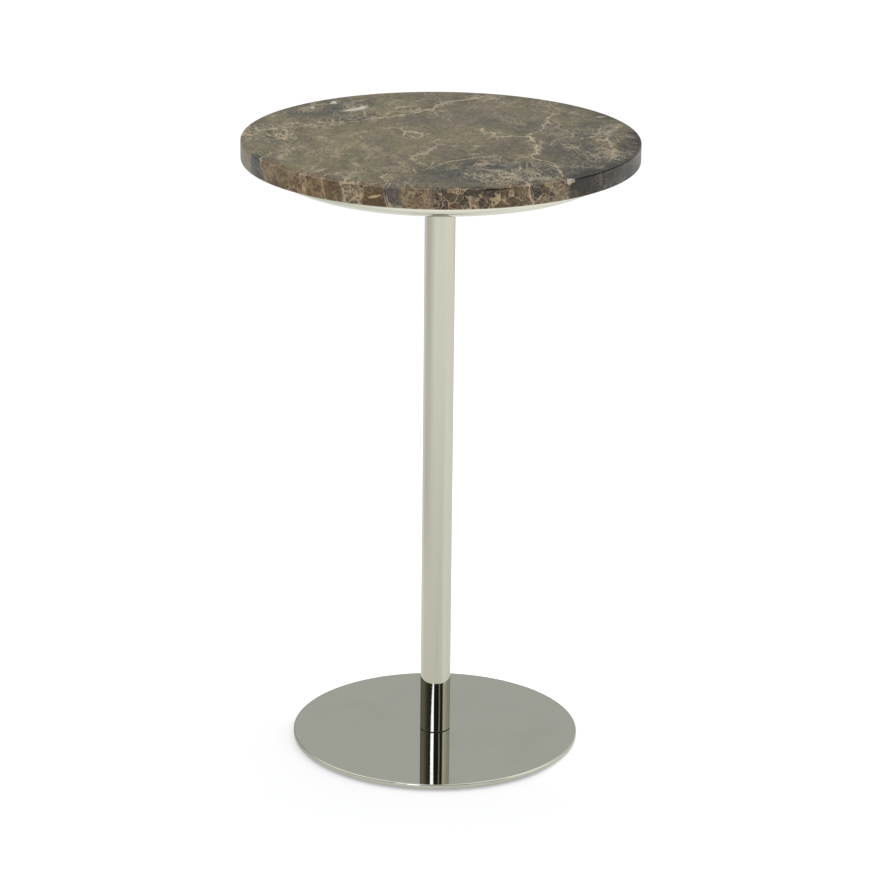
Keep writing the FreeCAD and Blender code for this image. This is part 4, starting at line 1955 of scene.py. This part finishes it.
@dataclass
class Camera:
    """The photograph's point of view, in metres and degrees, with its focal length in pixels."""

    distance: float = 3.5758
    height: float = 1.5535
    pitch_deg: float = 18.872
    yaw_deg: float = 0.0356
    roll_deg: float = 0.605
    focal_px: float = 3629.5
    frame_px: float = 880.0
    sensor_mm: float = 36.0
    far_limit: float = 200.0

    def place(self) -> None:
        """Adds the camera and makes it the scene's own."""
        pitch, yaw, roll = (math.radians(a) for a in (self.pitch_deg, self.yaw_deg, self.roll_deg))
        ahead = Vector((math.sin(yaw) * math.cos(pitch), math.cos(yaw) * math.cos(pitch), -math.sin(pitch)))
        level = Vector((math.cos(yaw), -math.sin(yaw), 0.0))
        upright = level.cross(ahead)
        right = level * math.cos(roll) + upright * math.sin(roll)
        up = upright * math.cos(roll) - level * math.sin(roll)
        turn = Matrix((right, up, -ahead)).transposed()
        data = bpy.data.cameras.new("camera")
        data.sensor_fit = "HORIZONTAL"
        data.sensor_width = self.sensor_mm
        data.lens = self.focal_px / self.frame_px * self.sensor_mm
        data.clip_end = self.far_limit
        camera = bpy.data.objects.new("camera", data)
        camera.matrix_world = Matrix.Translation((0.0, -self.distance, self.height)) @ turn.to_4x4()
        bpy.context.scene.collection.objects.link(camera)
        bpy.context.scene.camera = camera


@dataclass(frozen=True)
class PaleFloor(Finish):
    """A plain pale floor with a soft glow, clear when it is seen from beneath.

    Bearings are degrees right of the front, and distances are metres out from the table. The glow is weaker
    to the left, near the table and behind it.
    """

    name: str = "pale_floor"
    tint: Colour = (0.62, 0.62, 0.615)
    worn: Colour = (0.60, 0.60, 0.595)
    wear_waves: float = 3.0
    wear_octaves: float = 3.0
    roughness: float = 0.8
    glow: float = 0.52
    left_near_side: Point = (-85.0, -20.0)
    left_far_side: Point = (-135.0, -105.0)
    left_from: Point = (0.35, 0.75)
    left_loss: float = 0.33
    far_left_from: Point = (1.3, 1.9)
    far_left_loss: float = 0.10
    near_until: Point = (0.45, 2.0)
    near_sides: Triple = (-110.0, 52.0, 14.0)
    near_loss: float = 0.19
    behind_from: Point = (1.0, 2.0)
    behind_loss: float = 0.20

    def paint(self, graph: Graph) -> Dict[str, Operand]:
        """Matt and even, with the soft glow.

        Args:
            graph: the material's tree.

        Returns:
            The Principled shader's sockets.
        """
        place = graph.coordinates()
        out = place.length()
        bearing = graph.bearing(place)
        left = bearing.fall(*self.left_near_side) * bearing.rise(*self.left_far_side)
        left = left * out.rise(*self.left_from)
        near = out.fall(*self.near_until) * (1.0 - left) * bearing.band(*self.near_sides)
        behind = place.part("Y").rise(*self.behind_from)
        loss = left * (self.left_loss + out.rise(*self.far_left_from) * self.far_left_loss)
        loss = loss + near * self.near_loss + behind * self.behind_loss
        glow = (self.glow - loss).at_least(0.0)
        wear = graph.noise(place, self.wear_waves, self.wear_octaves)
        return {
            "Base Color": graph.mix(wear, self.tint, self.worn),
            "Roughness": self.roughness,
            "Specular IOR Level": 0.0,
            "Emission Color": graph.mix(glow, BLACK, WHITE),
            "Emission Strength": 1.0,
        }

    def surface(self, graph: Graph, shader: Field) -> Field:
        """The floor from above and nothing from beneath.

        Args:
            graph: the material's tree.
            shader: the floor's own shader.

        Returns:
            The shader for both sides.
        """
        clear = graph.field("ShaderNodeBsdfTransparent", {}, {})
        beneath = graph.field("ShaderNodeNewGeometry", {}, {}, "Backfacing")
        return graph.field("ShaderNodeMixShader", {}, {0: beneath, 1: shader, 2: clear})


@dataclass
class Studio:
    """The floor and the soft surroundings that the polished metal mirrors.

    Directions are degrees right of the camera as seen from the table, and degrees above the horizon. The
    wall is a list of such directions with their colours, and the flag is a dark sheet beside its softbox.
    """

    floor_half: float = 40.0
    dome: float = 2.1
    dome_front: float = 0.35
    dome_front_sides: Point = (40.0, 130.0)
    dome_front_top: Point = (50.0, 80.0)
    ceiling_from: Point = (28.0, 46.0)
    back_low: Colour = (0.22, 0.225, 0.23)
    back_high: Colour = (0.74, 0.76, 0.77)
    back_rise: Point = (14.5, 21.5)
    back_sides: Point = (158.0, 170.0)
    brightest: float = 6.0
    wall: Tuple[Tuple[float, Colour], ...] = (
        (-160.0, (0.41, 0.41, 0.42)),
        (-97.0, (0.39, 0.38, 0.37)),
        (-77.0, (0.235, 0.215, 0.175)),
        (-60.0, (0.13, 0.115, 0.09)),
        (-35.0, (0.055, 0.06, 0.05)),
        (-34.0, (4.6, 4.8, 6.6)),
        (-12.5, (4.6, 4.8, 6.6)),
        (-11.0, (0.045, 0.05, 0.045)),
        (26.0, (0.036, 0.036, 0.036)),
        (29.0, (0.66, 0.64, 0.62)),
        (36.0, (0.66, 0.64, 0.62)),
        (39.0, (0.045, 0.04, 0.04)),
        (57.5, (0.05, 0.045, 0.04)),
        (66.0, (1.48, 1.46, 1.48)),
        (74.0, (1.42, 1.40, 1.42)),
        (87.0, (1.22, 1.24, 1.24)),
        (110.0, (0.96, 1.01, 0.97)),
        (160.0, (0.90, 0.94, 0.90)),
    )
    low_wall: Colour = (0.46, 0.465, 0.46)
    low_wall_from: Point = (6.0, 9.0)
    low_wall_to: Point = (19.5, 21.0)
    flag: Colour = (0.05, 0.055, 0.045)
    flag_start: Point = (-36.0, -35.0)
    flag_edge: Point = (-21.0, -33.5)
    flag_soft: float = 0.5
    flag_rise: Point = (22.6, 23.6)

    def build(self) -> None:
        """Lays the floor and sets the world's light."""
        self._floor()
        self._surroundings()
        settings = bpy.context.scene.view_settings
        settings.view_transform = "Standard"
        settings.look = "None"

    def _floor(self) -> None:
        """Lays a wide floor."""
        half = self.floor_half
        corners = [(x * half, y * half, 0.0) for x, y in ((-1, -1), (1, -1), (1, 1), (-1, 1))]
        mesh = bpy.data.meshes.new("floor")
        mesh.from_pydata(corners, [], [(0, 1, 2, 3)])
        mesh.materials.append(PaleFloor().material())
        floor = bpy.data.objects.new("floor", mesh)
        bpy.context.scene.collection.objects.link(floor)

    def _surroundings(self) -> None:
        """Sets a bright ceiling over the walls, dimmer in front."""
        world = bpy.data.worlds.new("studio")
        bpy.context.scene.world = world
        world.use_nodes = True
        world.node_tree.nodes.clear()
        graph = Graph(world.node_tree)
        look = graph.field("ShaderNodeTexCoord", {}, {}, "Generated")
        rise = look.part("Z").arcsine() * DEGREES_PER_RADIAN
        around = graph.bearing(look)
        walls = self._walls(graph, around, rise)
        front = abs(around).fall(*self.dome_front_sides) * rise.fall(*self.dome_front_top)
        ceiling = graph.mix(front, (self.dome,) * 3, (self.dome_front,) * 3)
        sky = graph.mix(rise.rise(*self.ceiling_from), walls, ceiling)
        light = graph.field("ShaderNodeBackground", {}, {"Color": sky, "Strength": 1.0})
        graph.node("ShaderNodeOutputWorld", {}, {"Surface": light})

    def _walls(self, graph: Graph, around: Field, rise: Field) -> Field:
        """The dim room in front with one softbox beside the camera, and the grey wall behind.

        Args:
            graph: the world's tree.
            around: degrees right of the camera.
            rise: degrees above the horizon.

        Returns:
            The walls' colour in every direction.
        """
        stops = []
        for bearing, colour in self.wall:
            share = (bearing + HALF_TURN_DEG) / FULL_TURN_DEG
            stops.append((share, tuple(c / self.brightest for c in colour)))
        turn = (around + HALF_TURN_DEG) / FULL_TURN_DEG
        ramp = graph.field("ShaderNodeValToRGB", {"stops": stops}, {"Fac": turn})
        low_edge, high_edge = self.flag_edge
        edge = low_edge + rise.rise(*self.flag_rise) * (high_edge - low_edge)
        flagged = (around - edge).fall(-self.flag_soft, self.flag_soft) * around.rise(*self.flag_start)
        low = rise.rise(*self.low_wall_from) * rise.fall(*self.low_wall_to)
        lit = graph.mix(flagged, ramp * self.brightest, self.flag)
        lit = lit.at_least(graph.mix(low, BLACK, self.low_wall))
        back = graph.mix(rise.rise(*self.back_rise), self.back_low, self.back_high)
        return graph.mix(abs(around).rise(*self.back_sides), lit, back)


def main() -> None:
    """Builds the table's pieces in order, then the studio round them."""
    logging.basicConfig(level=logging.INFO, format="%(name)s: %(message)s")
    lathe, ring = TurnedTree(), RingTree()
    StoneTop().build(lathe)
    UnderDish().build(lathe)
    TopFixings().build(lathe, ring)
    Column().build(lathe)
    FootPlate().build(lathe, ring)
    HiddenPieces().dress()
    Camera().place()
    Studio().build()


if __name__ == "__main__":
    main()
